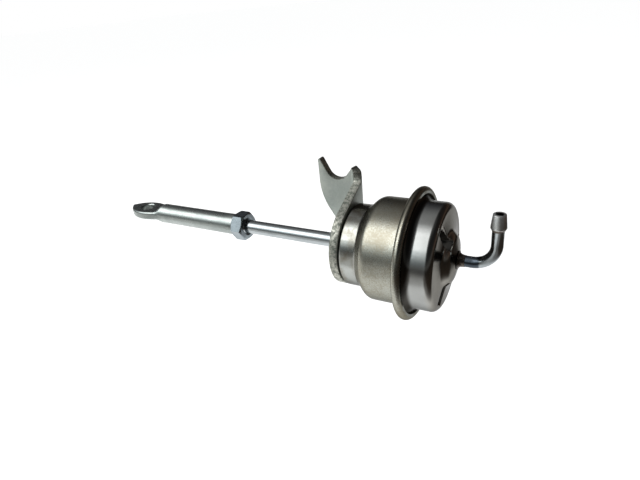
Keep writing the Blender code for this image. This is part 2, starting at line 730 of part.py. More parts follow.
def make_seal(rubber, steel, parent):
    nose = -SHEET - BUSH_NOSE
    start = nose + THIN_GAP
    end = start + SEAL_LENGTH
    lip = ROD_R + RUNNING_GAP
    section = [(start, lip + 0.5), (start, SEAL_R), (end, SEAL_R), (end, lip + 0.5)]
    section += [(end - 0.3, lip), ((start + end) / 2, lip + 0.35), (start + 0.3, lip)]
    add_piece("rod_seal", spun(section, SMALL_STEPS), rubber, parent)
    cap_inner = BUSH_R + 1.5 * THIN_GAP
    face = nose - THIN_GAP
    path = [(face - CAP_SHEET, CAP_HOLE_R), (face - CAP_SHEET, cap_inner + CAP_SHEET)]
    path += [(face + CAP_SKIRT - 0.3, cap_inner + CAP_SHEET)]
    add_piece("seal_cap", spun(sheet_section(path, CAP_SHEET), SMALL_STEPS), steel, parent)


def seat_path():
    """The seat's face on the spring's side: a flat ring with a raised hat over the bush's flange."""
    floor = SEAT_GAP + CAN_SHEET + THIN_GAP + SEAT_SHEET
    hat = SEAT_GAP + CAN_SHEET + SEAT_GAP + BUSH_FLANGE + THIN_GAP + SEAT_SHEET
    path = [(hat, ROD_R + SEAT_GAP), (hat, SEAT_HAT_R - 0.5), (floor, SEAT_HAT_R), (floor, SEAT_R)]
    return path


def make_seat(finish, parent):
    section = sheet_section(seat_path(), -SEAT_SHEET)
    return add_piece("spring_seat", spun(section, 28), finish, parent)


def spring_line():
    """Points along the coil: close dead turns at both ends, open turns between."""
    start = SEAT_GAP + CAN_SHEET + THIN_GAP + SEAT_SHEET + 1.5 * THIN_GAP + SPRING_WIRE_R
    end = CUP_TOP - CUP_SHEET - 1.5 * THIN_GAP - SPRING_WIRE_R
    dead_rise = SPRING_DEAD_TURNS * 2 * SPRING_WIRE_R * 1.08
    open_turns = SPRING_TURNS - 2 * SPRING_DEAD_TURNS
    per_turn = 14
    points = []
    for i in range(int(SPRING_TURNS * per_turn) + 1):
        turn = i / per_turn
        if turn <= SPRING_DEAD_TURNS:
            station = start + dead_rise * turn / SPRING_DEAD_TURNS
        elif turn >= SPRING_TURNS - SPRING_DEAD_TURNS:
            station = end - dead_rise * (SPRING_TURNS - turn) / SPRING_DEAD_TURNS
        else:
            share = (turn - SPRING_DEAD_TURNS) / open_turns
            station = start + dead_rise + (end - start - 2 * dead_rise) * share
        angle = 2 * math.pi * turn
        points.append(Vector((station, SPRING_R * math.cos(angle), SPRING_R * math.sin(angle))))
    return points


def make_spring(finish, parent):
    points = spring_line()
    loops = []
    sides = 6
    for i, point in enumerate(points):
        before = points[max(0, i - 1)]
        after = points[min(len(points) - 1, i + 1)]
        along = (after - before).normalized()
        outward = Vector((0, point.y, point.z)).normalized()
        outward = (outward - along * outward.dot(along)).normalized()
        other = along.cross(outward)
        loop = []
        for side in range(sides):
            angle = 2 * math.pi * side / sides
            offset = math.cos(angle) * outward + math.sin(angle) * other
            loop.append(point + SPRING_WIRE_R * offset)
        loops.append(loop)
    return add_piece("return_spring", loft(loops), finish, parent)


def main():
    clear_scene()
    satin = material("zinc_satin", (0.48, 0.47, 0.43), 0.42, 1.0)
    bright = material("zinc_bright", (0.62, 0.64, 0.66), 0.22, 1.0)
    plated = material("zinc_plated_sheet", (0.42, 0.45, 0.42), 0.5, 0.8)
    dark = material("steel_smooth", (0.36, 0.37, 0.37), 0.3, 1.0)
    plain = material("steel_plain", (0.4, 0.4, 0.4), 0.45, 1.0)
    brazing = material("braze_dark", (0.12, 0.1, 0.09), 0.5, 0.7)
    bronze = material("bronze", (0.5, 0.33, 0.16), 0.4, 1.0)
    rubber = material("rubber_black", (0.03, 0.03, 0.03), 0.7, 0.0)

    axis = bpy.data.objects.new("rod_axis", None)
    axis.location = AXIS_ORIGIN
    bpy.context.scene.collection.objects.link(axis)

    make_bracket(plated, axis)
    can = spun(sheet_section(can_path(), CAN_SHEET))
    add_piece("can_body", can, satin, axis)
    make_cover(dark, axis)
    make_nipple(bright, axis)
    make_braze(brazing, axis)
    make_bush(bronze, axis)
    make_seal(rubber, plain, axis)
    make_seat(plain, axis)
    make_spring(plain, axis)
    make_diaphragm(rubber, axis)
    make_stack(plain, plain, axis)
    make_rod(bright, axis)
    make_nut(bright, axis)
    make_rod_end(bright, axis)


main()
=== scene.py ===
"""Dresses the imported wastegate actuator: finished metal pieces, materials, floor, lamps and camera."""

import math

import bmesh
import bpy
from mathutils import Matrix, Vector, noise


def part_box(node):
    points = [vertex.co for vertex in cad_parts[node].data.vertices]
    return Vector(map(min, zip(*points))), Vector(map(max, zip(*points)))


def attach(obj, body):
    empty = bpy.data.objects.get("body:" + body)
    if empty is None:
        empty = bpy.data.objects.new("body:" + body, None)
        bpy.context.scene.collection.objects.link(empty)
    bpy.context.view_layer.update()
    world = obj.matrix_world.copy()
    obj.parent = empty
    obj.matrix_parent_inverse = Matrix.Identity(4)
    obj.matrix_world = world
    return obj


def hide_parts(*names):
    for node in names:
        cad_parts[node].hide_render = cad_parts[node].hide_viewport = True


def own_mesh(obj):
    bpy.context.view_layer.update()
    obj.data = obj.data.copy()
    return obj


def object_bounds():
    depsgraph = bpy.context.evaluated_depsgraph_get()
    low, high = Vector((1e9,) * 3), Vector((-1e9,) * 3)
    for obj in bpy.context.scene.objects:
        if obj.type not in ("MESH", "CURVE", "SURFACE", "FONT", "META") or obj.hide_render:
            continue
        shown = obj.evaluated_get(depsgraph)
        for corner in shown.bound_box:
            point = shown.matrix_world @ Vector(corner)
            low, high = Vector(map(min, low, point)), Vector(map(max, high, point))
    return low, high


bl_info = {
    "name": "Wastegate Actuator",
    "version": (1, 0, 0),
    "blender": (4, 5, 0),
    "location": "View3D > Sidebar > Actuator",
    "description": "Builds the finished pieces of a wastegate actuator on its packed frame",
    "category": "Object",
}

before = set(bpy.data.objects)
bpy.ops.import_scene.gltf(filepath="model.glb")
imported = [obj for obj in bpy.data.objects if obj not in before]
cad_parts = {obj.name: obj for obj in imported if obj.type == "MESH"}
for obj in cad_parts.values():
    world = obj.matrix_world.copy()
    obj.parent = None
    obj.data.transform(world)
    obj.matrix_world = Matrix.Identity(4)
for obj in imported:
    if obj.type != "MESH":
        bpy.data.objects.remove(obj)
cad_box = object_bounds()

MM = 0.001


# Places and sizes read from the frame

def low(node):
    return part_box(node)[0]


def high(node):
    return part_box(node)[1]


def round_radius(node):
    """Half the height of a piece that is round about the rod's axis, in millimetres."""
    return (high(node).z - low(node).z) / 2 / MM


ROD_Y = (low("actuator_rod").y + high("actuator_rod").y) / 2
ROD_Z = (low("actuator_rod").z + high("actuator_rod").z) / 2
SEAT_X = high("mounting_bracket").x
ON_AXIS = Matrix.Translation((SEAT_X, ROD_Y, ROD_Z)) @ Matrix.Scale(MM, 4)


def station(x):
    """A row-frame X as a distance in millimetres from the can's seat on the bracket."""
    return (x - SEAT_X) / MM


def ends(node):
    """The stations where a piece starts and ends."""
    return station(low(node).x), station(high(node).x)


def top_height(node):
    """Height of a piece's top above the rod's axis, in millimetres."""
    return (high(node).z - ROD_Z) / MM


# Settings a user would change, in millimetres unless a unit says otherwise

def number_property(name, description, default, **options):
    return bpy.props.FloatProperty(name=name, description=description, default=default, **options)


def size_property(name, description, default):
    return number_property(name, description, default, min=0.0)


def angle_property(name, description, degrees):
    return number_property(name, description, math.radians(degrees), subtype="ANGLE")


def vector_property(name, description, default, subtype="NONE"):
    return bpy.props.FloatVectorProperty(
        name=name, description=description, default=default, size=len(default), subtype=subtype)


def colour_property(name, description, default):
    return bpy.props.FloatVectorProperty(
        name=name, description=description, default=default, size=3, subtype="COLOR", min=0.0, max=1.0)


class CameraSettings(bpy.types.PropertyGroup):
    place: vector_property("Place", "Where the camera stands", (0.07626, -0.14587, 0.06421), "TRANSLATION")
    azimuth: angle_property("Azimuth", "Turn to the left from looking along +Y", 31.13)
    elevation: angle_property("Elevation", "Angle above the horizon", 27.22)
    roll: angle_property("Roll", "Turn about the line of sight", -6.2)
    lens: number_property("Lens", "Focal length on a 36 mm sensor", 27.0)


class StageSettings(bpy.types.PropertyGroup):
    floor_drop: size_property("Floor Drop", "Height of the actuator above the floor", 110.0)
    floor_colour: colour_property("Floor Colour", "Pale floor", (0.82, 0.82, 0.82))
    right_shade: colour_property("Right Shade", "Tone the floor fades to on the right", (0.13, 0.1, 0.08))
    near_shade: colour_property("Near Shade", "Tone of the floor on the camera's side", (0.8, 0.79, 0.76))
    floor_glow: number_property("Floor Glow", "Light the floor adds towards camera and metal", 0.85)
    near_glow: number_property("Near Glow", "Share of the glow left on the camera's side", 0.25)
    corner_glow: number_property("Corner Glow", "Share of the glow left beside the camera", 0.2)
    fade_right: vector_property(
        "Fade Right", "Where the fade to the right starts and ends", (0.13, 0.21), "XYZ_LENGTH")
    fade_corner: vector_property(
        "Fade Corner", "Where the fade beside the camera starts and ends", (0.1, 0.17), "XYZ_LENGTH")
    fade_near: vector_property(
        "Fade Near", "Where the fade towards the camera ends and starts", (-1.3, -0.68), "XYZ_LENGTH")
    softbox_place: vector_property(
        "Softbox Place", "Centre of the overhead softbox", (-0.46, -0.306, 0.393), "TRANSLATION")
    softbox_size: vector_property(
        "Softbox Size", "Length and width of the softbox's bright middle", (0.76, 0.35), "XYZ_LENGTH")
    softbox_level: number_property("Softbox Level", "Brightness of the softbox's middle", 1.9)
    softbox_edges: vector_property(
        "Softbox Edges", "Brightness of the two wider, weaker bands round the middle", (0.75, 0.45))


class BracketSettings(bpy.types.PropertyGroup):
    sheet: size_property("Sheet", "Thickness of the sheet", 3.0)
    foot_radius: size_property("Foot Radius", "Radius of the round foot", 14.75)
    foot_shift: vector_property("Foot Shift", "Foot's centre from the rod's axis", (0.48, 0.36))
    hole_radius: size_property("Hole Radius", "Radius of the hole under the can", 4.6)
    bend_radius: size_property("Bend Radius", "Inner radius of the bend", 1.5)
    edge_round: size_property("Edge Round", "Rounding along the sheared edges", 0.22)
    notch_radius: size_property("Notch Radius", "Radius of the open notch", 4.5)


class CanSettings(bpy.types.PropertyGroup):
    sheet: size_property("Sheet", "Thickness of the drawn sheet", 0.6)
    neck_radius: size_property("Neck Radius", "Radius of the neck", 14.3)
    neck_length: size_property("Neck Length", "Length of the neck", 6.2)
    wall_radius: size_property("Wall Radius", "Radius of the wall", 17.75)
    roll_radius: size_property("Roll Radius", "Radius of the rolled rim's section", 1.4)


class CoverSettings(bpy.types.PropertyGroup):
    wall_radius: size_property("Wall Radius", "Radius of the wall", 17.9)
    foot_fillet: size_property("Foot Fillet", "Fillet between the wall and the clamped flange", 3.0)
    groove_half_width: size_property("Groove Half Width", "Half the width of a stop groove", 2.0)
    groove_angle: angle_property("Groove Angle", "Direction of the first groove, from +Y to +Z", 118.0)


class NippleSettings(bpy.types.PropertyGroup):
    tube_radius: size_property("Tube Radius", "Outer radius of the tube", 1.85)
    bore_radius: size_property("Bore Radius", "Radius of the bore", 1.1)
    bend_radius: size_property("Bend Radius", "Radius of the bend's centre line", 7.0)
    barb_radius: size_property("Barb Radius", "Radius of the barb", 2.4)
    burnt_length: size_property("Burnt Length", "Length of tube beside the braze, dark from heat", 4.0)


class RodSettings(bpy.types.PropertyGroup):
    shank_radius: size_property("Shank Radius", "Radius of the smooth shank", 2.65)
    thread_radius: size_property("Thread Radius", "Outer radius of the thread", 3.0)
    nut_flats: size_property("Nut Flats", "Width across the nut's flats", 10.0)
    sleeve_radius: size_property("Sleeve Radius", "Radius of the rod end's sleeve", 4.15)
    eye_half_width: size_property("Eye Half Width", "Half the width of the eye", 5.7)
    eye_half_thickness: size_property("Eye Half Thickness", "Half the eye's thickness", 1.8)
    eye_hole_radius: size_property("Eye Hole Radius", "Radius of the eye's hole", 2.9)


class SpringSettings(bpy.types.PropertyGroup):
    wire_radius: size_property("Wire Radius", "Radius of the return spring's wire", 1.0)
    turns: number_property("Turns", "Turns of the return spring", 6.0, min=2.0)
    close_turns: number_property("Close Turns", "Close turns at each end of the spring", 0.9, min=0.1)


class FinishSettings(bpy.types.PropertyGroup):
    bracket_colour: colour_property("Bracket", "Plated sheet", (0.54, 0.575, 0.53))
    can_colour: colour_property("Can", "Satin zinc", (0.37, 0.375, 0.33))
    cover_colour: colour_property("Cover", "Smooth plated steel", (0.42, 0.435, 0.425))
    bright_colour: colour_property("Bright", "Bright zinc", (0.42, 0.45, 0.46))
    braze_colour: colour_property("Braze", "Dark braze", (0.07, 0.06, 0.055))


# Mesh tools: sections are (station, radius) points in millimetres

def arc(centre, radius, start, end, steps):
    """Points on an arc in the section plane, angles in degrees from the station axis."""
    points = []
    for i in range(steps + 1):
        angle = math.radians(start + (end - start) * i / steps)
        points.append((centre[0] + radius * math.cos(angle), centre[1] + radius * math.sin(angle)))
    return points


def offset_path(path, distance, closed=False):
    """The path moved to its right-hand side. A mitred corner moves at most twice the distance."""
    count = len(path)
    moved = []
    for i, point in enumerate(path):
        here = Vector(point)
        before = (here - Vector(path[i - 1])).normalized() if closed or i > 0 else None
        after = (Vector(path[(i + 1) % count]) - here).normalized() if closed or i < count - 1 else None
        first = before or after
        second = after or before
        one = Vector((first.y, -first.x))
        mitre = (one + Vector((second.y, -second.x))).normalized()
        moved.append(here + mitre * (distance / max(0.5, mitre.dot(one))))
    return moved


def sheet_section(path, thickness):
    """The closed section of a sheet whose outer side follows the path."""
    return list(path) + list(reversed(offset_path(path, thickness)))


def ramp(value, start, end):
    """Grows smoothly from 0 at the start to 1 at the end."""
    share = min(1.0, max(0.0, (value - start) / (end - start)))
    return share * share * (3 - 2 * share)


def circle(centre, across, other, radius, steps):
    """Points on a circle that starts at the across direction and turns towards the other one."""
    points = []
    for i in range(steps):
        turn = math.tau * i / steps
        points.append(centre + radius * (math.cos(turn) * across + math.sin(turn) * other))
    return points


def closed_loop(builder, points):
    """The edges of a new closed loop through the points."""
    verts = [builder.verts.new(point) for point in points]
    return [builder.edges.new(pair) for pair in zip(verts, verts[1:] + verts[:1])]


def spun(section, steps=128, closed=True):
    """A section spun once round the rod's axis. An open section starts and ends on the axis."""
    builder = bmesh.new()
    verts = [builder.verts.new((x, radius, 0.0)) for x, radius in section]
    edges = [builder.edges.new(pair) for pair in zip(verts, verts[1:])]
    if closed:
        edges.append(builder.edges.new((verts[-1], verts[0])))
    bmesh.ops.spin(
        builder, geom=verts + edges, cent=(0, 0, 0), axis=(1, 0, 0), angle=math.tau, steps=steps,
        use_merge=True)
    bmesh.ops.remove_doubles(builder, verts=builder.verts, dist=0.0005)
    bmesh.ops.recalc_face_normals(builder, faces=builder.faces)
    return builder


def lofted(loops, capped=True):
    """Closed loops of points bridged in order. Uncapped, the last loop is bridged to the first."""
    builder = bmesh.new()
    rings = [closed_loop(builder, loop) for loop in loops]
    for one, two in zip(rings, rings[1:]):
        bmesh.ops.bridge_loops(builder, edges=one + two)
    if capped:
        for ring in (rings[0], rings[-1]):
            bmesh.ops.contextual_create(builder, geom=ring)
    else:
        bmesh.ops.bridge_loops(builder, edges=rings[-1] + rings[0])
    bmesh.ops.recalc_face_normals(builder, faces=builder.faces)
    return builder


def mesh_from(builder, name):
    mesh = bpy.data.meshes.new(name)
    builder.to_mesh(mesh)
    builder.free()
    return mesh


def new_object(name, data):
    made = bpy.data.objects.new(name, data)
    bpy.context.scene.collection.objects.link(made)
    return made


def smooth_mesh(mesh, sharp):
    """Smooth shading, except over edges that turn by more than sharp degrees."""
    mesh.shade_smooth()
    mesh.set_sharp_from_angle(angle=math.radians(sharp))


def finish_piece(name, builder, body, nodes, materials, sharp=32.0):
    """Places the mesh on the rod's axis, in metres, and makes it stand for its CAD nodes."""
    bmesh.ops.transform(builder, matrix=ON_AXIS, verts=builder.verts)
    mesh = mesh_from(builder, name)
    for made in materials:
        mesh.materials.append(made)
    smooth_mesh(mesh, sharp)
    piece = new_object(name, mesh)
    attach(piece, body)
    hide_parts(*nodes)
    return piece


# Shader tools

COLOUR = "NodeSocketColor"
NUMBER = "NodeSocketFloat"
GROUPS = {}


def fill(tree, node, inputs):
    """Sets a node's inputs. Each value is another node's output, which is linked, or a plain value."""
    for key, value in inputs.items():
        if isinstance(value, bpy.types.NodeSocket):
            tree.links.new(value, node.inputs[key])
        else:
            node.inputs[key].default_value = value


def add_node(tree, kind, place, inputs, **settings):
    made = tree.nodes.new("ShaderNode" + kind)
    made.location = place
    for name, value in settings.items():
        setattr(made, name, value)
    fill(tree, made, inputs)
    return made


def calculate(tree, place, operation, *values, **settings):
    made = add_node(tree, "Math", place, dict(enumerate(values)), operation=operation, **settings)
    return made.outputs["Value"]


def mix_colours(tree, place, mask, one, two, blend_type="MIX"):
    """Colour one where the mask is 0, going over to colour two where it is 1."""
    made = add_node(
        tree, "Mix", place, {"Factor": mask, 6: one, 7: two}, data_type="RGBA", blend_type=blend_type)
    return made.outputs[2]


def map_range(tree, place, value, limits, results=(0.0, 1.0), kind="SMOOTHSTEP"):
    """The value between its two limits, turned into a value between the two results."""
    inputs = {
        "Value": value, "From Min": limits[0], "From Max": limits[1], "To Min": results[0],
        "To Max": results[1]}
    return add_node(tree, "MapRange", place, inputs, interpolation_type=kind).outputs["Result"]


def object_place(tree, place):
    return add_node(tree, "TexCoord", place, {}).outputs["Object"]


def split_vector(tree, place, vector):
    return add_node(tree, "SeparateXYZ", place, {"Vector": vector}).outputs


def new_group(name, inputs, outputs):
    """An empty node group. inputs are {name: default}, outputs {name: socket kind}."""
    group = bpy.data.node_groups.new(name, "ShaderNodeTree")
    for label, default in inputs.items():
        kind = COLOUR if isinstance(default, tuple) else NUMBER
        socket = group.interface.new_socket(name=label, in_out="INPUT", socket_type=kind)
        socket.default_value = default
    for label, kind in outputs.items():
        group.interface.new_socket(name=label, in_out="OUTPUT", socket_type=kind)
    entry = group.nodes.new("NodeGroupInput")
    entry.location = (-1100, 0)
    leave = group.nodes.new("NodeGroupOutput")
    leave.location = (700, 0)
    return group, entry.outputs, leave


def plating_group():
    """Blotchy plating: colour drifts between two tones, and roughness drifts with it."""
    group, given, leave = new_group(
        "Plating Blotches",
        {"Tone": (0.5, 0.5, 0.5, 1), "Other Tone": (0.4, 0.4, 0.4, 1), "Blotch Scale": 120.0,
         "Speckle Scale": 2600.0, "Speckle": 0.3, "Roughness": 0.35, "Spread": 0.12},
        {"Colour": COLOUR, "Roughness": NUMBER})
    place = object_place(group, (-900, 320))
    blotch = add_node(
        group, "TexNoise", (-640, 260),
        {"Vector": place, "Scale": given["Blotch Scale"], "Detail": 4.0, "Roughness": 0.55})
    speckle = add_node(
        group, "TexNoise", (-640, -60),
        {"Vector": place, "Scale": given["Speckle Scale"], "Detail": 2.0, "Roughness": 0.6})
    drift = map_range(group, (-420, 260), blotch.outputs["Fac"], (0.35, 0.65), kind="LINEAR")
    fine = map_range(group, (-420, -60), speckle.outputs["Fac"], (0.3, 0.7), (-0.5, 0.5), "LINEAR")
    weight = calculate(group, (-200, -60), "MULTIPLY", fine, given["Speckle"])
    both = calculate(group, (-20, 120), "ADD", drift, weight, use_clamp=True)
    fill(group, leave, {
        "Colour": mix_colours(group, (200, 200), both, given["Tone"], given["Other Tone"]),
        "Roughness": calculate(
            group, (200, -60), "MULTIPLY_ADD", both, given["Spread"], given["Roughness"])})
    return group


def grain_group():
    """Fine pits of a plated or blasted sheet, as a height."""
    group, given, leave = new_group(
        "Sheet Grain", {"Scale": 3000.0, "Height": 1.0, "Pits": 0.3}, {"Height": NUMBER})
    inputs = {"Vector": object_place(group, (-900, 260)), "Scale": given["Scale"]}
    grain = add_node(group, "TexNoise", (-620, 200), {**inputs, "Detail": 3.0, "Roughness": 0.6})
    pits = add_node(group, "TexVoronoi", (-620, -80), inputs, feature="F1")
    deep = calculate(group, (-380, -80), "MULTIPLY", pits.outputs["Distance"], given["Pits"])
    total = calculate(group, (-160, 80), "ADD", grain.outputs["Fac"], deep)
    fill(group, leave, {"Height": calculate(group, (60, 80), "MULTIPLY", total, given["Height"])})
    return group


def turning_group():
    """Fine rings round the rod's axis, left by turning or drawing, as a height."""
    group, given, leave = new_group(
        "Turning Marks", {"Rings Per Metre": 2500.0, "Height": 1.0}, {"Height": NUMBER})
    from_axis = add_node(
        group, "VectorMath", (-900, 200), {0: object_place(group, (-1100, 200)), 1: (0.0, ROD_Y, ROD_Z)},
        operation="SUBTRACT")
    parts = split_vector(group, (-700, 200), from_axis.outputs["Vector"])
    across = add_node(group, "CombineXYZ", (-700, 0), {"Y": parts["Y"], "Z": parts["Z"]})
    radius = add_node(group, "VectorMath", (-500, 0), {0: across.outputs["Vector"]}, operation="LENGTH")
    along = add_node(group, "CombineXYZ", (-300, 160), {"X": parts["X"], "Y": radius.outputs["Value"]})
    rings = add_node(
        group, "TexNoise", (-100, 160),
        {"Vector": along.outputs["Vector"], "Scale": given["Rings Per Metre"], "Detail": 3.0,
         "Roughness": 0.7})
    fill(group, leave, {
        "Height": calculate(group, (300, 160), "MULTIPLY", rings.outputs["Fac"], given["Height"])})
    return group


def along_group():
    """A mask that grows from 0 to 1 between two places along the rod."""
    group, given, leave = new_group(
        "Along Rod", {"Start": 0.0, "End": 0.01}, {"Mask": NUMBER})
    parts = split_vector(group, (-500, 200), object_place(group, (-700, 200)))
    mask = map_range(group, (-200, 100), parts["X"], (given["Start"], given["End"]))
    fill(group, leave, {"Mask": mask})
    return group


def place_group(tree, maker, place, values):
    """A group node. Each node group is built once, when a material first needs it."""
    if maker not in GROUPS:
        GROUPS[maker] = maker()
    made = tree.nodes.new("ShaderNodeGroup")
    made.location = place
    made.node_tree = GROUPS[maker]
    fill(tree, made, values)
    return made


def opaque(colour):
    return (*colour, 1.0)


def new_material(name):
    """A material with its node tree and its Principled shader."""
    made = bpy.data.materials.new(name)
    made.use_nodes = True
    return made, made.node_tree, made.node_tree.nodes["Principled BSDF"]


def metal(name, tone, other, blotches=120.0, speckles=2600.0, speckle=0.3, roughness=0.35, spread=0.12,
          grain=None, turning=None, edge_tint=1.0, stains_and_shade=()):
    """A plated metal whose colour drifts between two tones. grain is (scale, height, pits), turning
    (rings per metre, height), and each stain or band of painted shade is (start station, end station,
    colour) where the plating darkens along the rod."""
    made, tree, shader = new_material(name)
    plating = place_group(tree, plating_group, (-620, 200), {
        "Tone": opaque(tone), "Other Tone": opaque(other), "Blotch Scale": blotches,
        "Speckle Scale": speckles, "Speckle": speckle, "Roughness": roughness, "Spread": spread})
    colour = plating.outputs["Colour"]
    # Each band multiplies the colour along the rod: a real stain, or painted shade
    for start, end, tint in stains_and_shade:
        mask = place_group(
            tree, along_group, (-620, 440), {"Start": SEAT_X + start * MM, "End": SEAT_X + end * MM})
        colour = mix_colours(tree, (-300, 300), mask.outputs["Mask"], colour, opaque(tint), "MULTIPLY")
    heights = []
    if grain:
        values = dict(zip(("Scale", "Height", "Pits"), grain))
        heights.append(place_group(tree, grain_group, (-620, -200), values).outputs["Height"])
    if turning:
        values = dict(zip(("Rings Per Metre", "Height"), turning))
        heights.append(place_group(tree, turning_group, (-620, -420), values).outputs["Height"])
    total = heights[0] if len(heights) == 1 else calculate(tree, (-400, -300), "ADD", *heights)
    bump = add_node(tree, "Bump", (-220, -260), {"Strength": 1.0, "Distance": 1.0, "Height": total})
    fill(tree, shader, {
        "Metallic": 1.0, "Specular Tint": opaque((edge_tint, edge_tint, edge_tint)), "Base Color": colour,
        "Roughness": plating.outputs["Roughness"], "Normal": bump.outputs["Normal"]})
    return made


def rubber(name):
    made, tree, shader = new_material(name)
    plating = place_group(
        tree, plating_group, (-620, 200),
        {"Tone": (0.02, 0.02, 0.02, 1), "Other Tone": (0.045, 0.045, 0.045, 1), "Roughness": 0.6})
    fill(tree, shader, {
        "Base Color": plating.outputs["Colour"], "Roughness": plating.outputs["Roughness"]})
    return made


# Pieces

# Brightness of drawn metal at grazing angles
DRAWN_TINT = 0.35


class ACTUATOR_OT_bracket(bpy.types.Operator):
    """Builds the bent sheet bracket with its notched ear"""

    bl_idname = "actuator.bracket"
    bl_label = "Bracket"

    # Slopes and angles in degrees, the rest in millimetres. Heights are above the rod's axis, and
    # the corner at the bend is (developed width, lift over the sloped edge)
    lower_slope = 58.3
    upper_slope = 23.0
    edge_top = 18.5
    notch_back = 9.8
    notch_height = 24.0
    notch_rim = 26
    notch_flare = 52
    horn_round = 0.6
    inner_horn_round = 0.45
    inner_horn_height = 24.15
    inner_horn_end = 172
    bend_corner = ((9.75, 2.4), (9.6, 1.9), (9.35, 1.35), (9.0, 0.85), (8.5, 0.4), (7.9, 0.1))
    bend_steps = 14
    # A rounded edge is two flats that meet at this share of the rounding from both faces
    edge_share = 0.3

    def execute(self, context):
        sizes = context.scene.actuator_bracket
        finish = context.scene.actuator_finish
        face = metal(
            "plated_sheet", finish.bracket_colour, (0.42, 0.46, 0.43), blotches=90.0, speckles=2200.0,
            speckle=0.5, roughness=0.42, spread=0.1, grain=(2600.0, 0.00001, 0.4))
        edge = metal(
            "sheared_edge", (0.5, 0.5, 0.44), (0.19, 0.205, 0.18), blotches=900.0, speckles=3600.0,
            speckle=1.0, roughness=0.42, spread=0.25, grain=(2600.0, 0.00004, 0.8))
        builder = self.blank(sizes)
        for vert in builder.verts:
            vert.co = self.folded(vert.co, sizes)
        bmesh.ops.recalc_face_normals(builder, faces=builder.faces)
        finish_piece(
            "bracket_sheet", builder, "housing", ["mounting_bracket"], [face, edge])
        return {"FINISHED"}

    def bend_length(self, sizes):
        """The bend's length along the middle of the sheet."""
        return math.pi / 2 * (sizes.bend_radius + sizes.sheet / 2)

    def bend_start(self, sizes):
        """Where the flat foot ends: the ear's outer face less the bend's outer radius."""
        ear_face = (high("mounting_bracket").y - ROD_Y) / MM
        return ear_face - sizes.bend_radius - sizes.sheet

    def outline(self, sizes):
        """The blank's outline as (developed width, height), from the foot round to the top edge."""
        radius = sizes.foot_radius
        outer_bend = sizes.bend_radius + sizes.sheet
        ear_start = self.bend_start(sizes) + self.bend_length(sizes)
        ear_end = ear_start - ends("mounting_bracket")[0] - outer_bend
        disc = Vector(sizes.foot_shift)
        outline = arc(tuple(disc), radius, 90 + self.upper_slope, 270 + self.lower_slope, 60)
        slope = math.radians(self.lower_slope)
        normal = Vector((math.sin(slope), -math.cos(slope)))
        # The sloped edge touches the foot, and an arc carries it over into the ear's upright edge
        top = self.edge_top
        edge_radius = ((Vector((ear_end, top)) - disc).dot(normal) - radius) / (normal.x - 1.0)
        outline += arc((ear_end - edge_radius, top), edge_radius, self.lower_slope - 90, 0, 18)
        tip = self.horn_round
        horn_top = top_height("mounting_bracket")
        outline += arc((ear_end - tip, horn_top - tip), tip, 0, 180 - self.notch_rim, 10)
        notch = Vector((ear_start + self.notch_back - outer_bend, self.notch_height))
        outline += arc(tuple(notch), sizes.notch_radius, -self.notch_rim, -90 - self.notch_flare, 32)
        # The notch ends in a straight side, which meets the rounded horn beside the bend
        flare = math.radians(self.notch_flare)
        inside = Vector((-math.sin(flare), -math.cos(flare)))
        foot = notch + sizes.notch_radius * inside
        tip = self.inner_horn_round
        reach = (self.inner_horn_height - tip + tip * math.cos(flare) - foot.y) / math.sin(flare)
        centre = foot + reach * Vector((-math.cos(flare), math.sin(flare))) + tip * inside
        outline += arc(tuple(centre), tip, 90 - self.notch_flare, self.inner_horn_end, 8)
        slope = math.radians(self.upper_slope)
        start = disc + radius * Vector((-math.sin(slope), math.cos(slope)))
        for width, lift in self.bend_corner:
            outline.append((width, start.y + (width - start.x) * math.tan(slope) + lift))
        return outline

    def blank(self, sizes):
        """The flat blank with rounded edges, cut across for bending. Sheared faces take material 1."""
        rounding = sizes.edge_round
        top = sizes.sheet
        middle = rounding * self.edge_share
        profile = [(rounding, 0), (middle, middle), (0, rounding)]
        profile += [(0, top - rounding), (middle, top - middle), (rounding, top)]
        builder = bmesh.new()
        outer = self.outline(sizes)
        hole = arc((0, 0), sizes.hole_radius, 360, 7.5, 47)
        ends = [[], []]
        for loop in (outer, hole):
            rings = []
            for inset, height in profile:
                points = offset_path(loop, -inset, closed=True)
                rings.append(closed_loop(builder, [(x, z, height) for x, z in points]))
            for one, two in zip(rings, rings[1:]):
                bmesh.ops.bridge_loops(builder, edges=one + two)
            ends[0] += rings[0]
            ends[1] += rings[-1]
        for face in builder.faces:
            face.material_index = 1
        for edges in ends:
            bmesh.ops.triangle_fill(builder, edges=edges, use_beauty=True)
        for i in range(self.bend_steps + 1):
            cut = self.bend_start(sizes) + self.bend_length(sizes) * i / self.bend_steps
            bmesh.ops.bisect_plane(
                builder, geom=builder.verts[:] + builder.edges[:] + builder.faces[:],
                plane_co=(cut, 0, 0), plane_no=(1, 0, 0), dist=0.0005)
        return builder

    def folded(self, point, sizes):
        """Where a point of the blank lies after bending. Depth 0 is on the can's side."""
        start = self.bend_start(sizes)
        bend = self.bend_length(sizes)
        outer = sizes.bend_radius + sizes.sheet
        if point.x <= start:
            return Vector((-point.z, point.x, point.y))
        radius = outer - point.z
        angle = min(1.0, (point.x - start) / bend) * math.pi / 2
        beyond = max(0.0, point.x - start - bend)
        return Vector((
            -outer + radius * math.cos(angle) - beyond, start + radius * math.sin(angle), point.y))


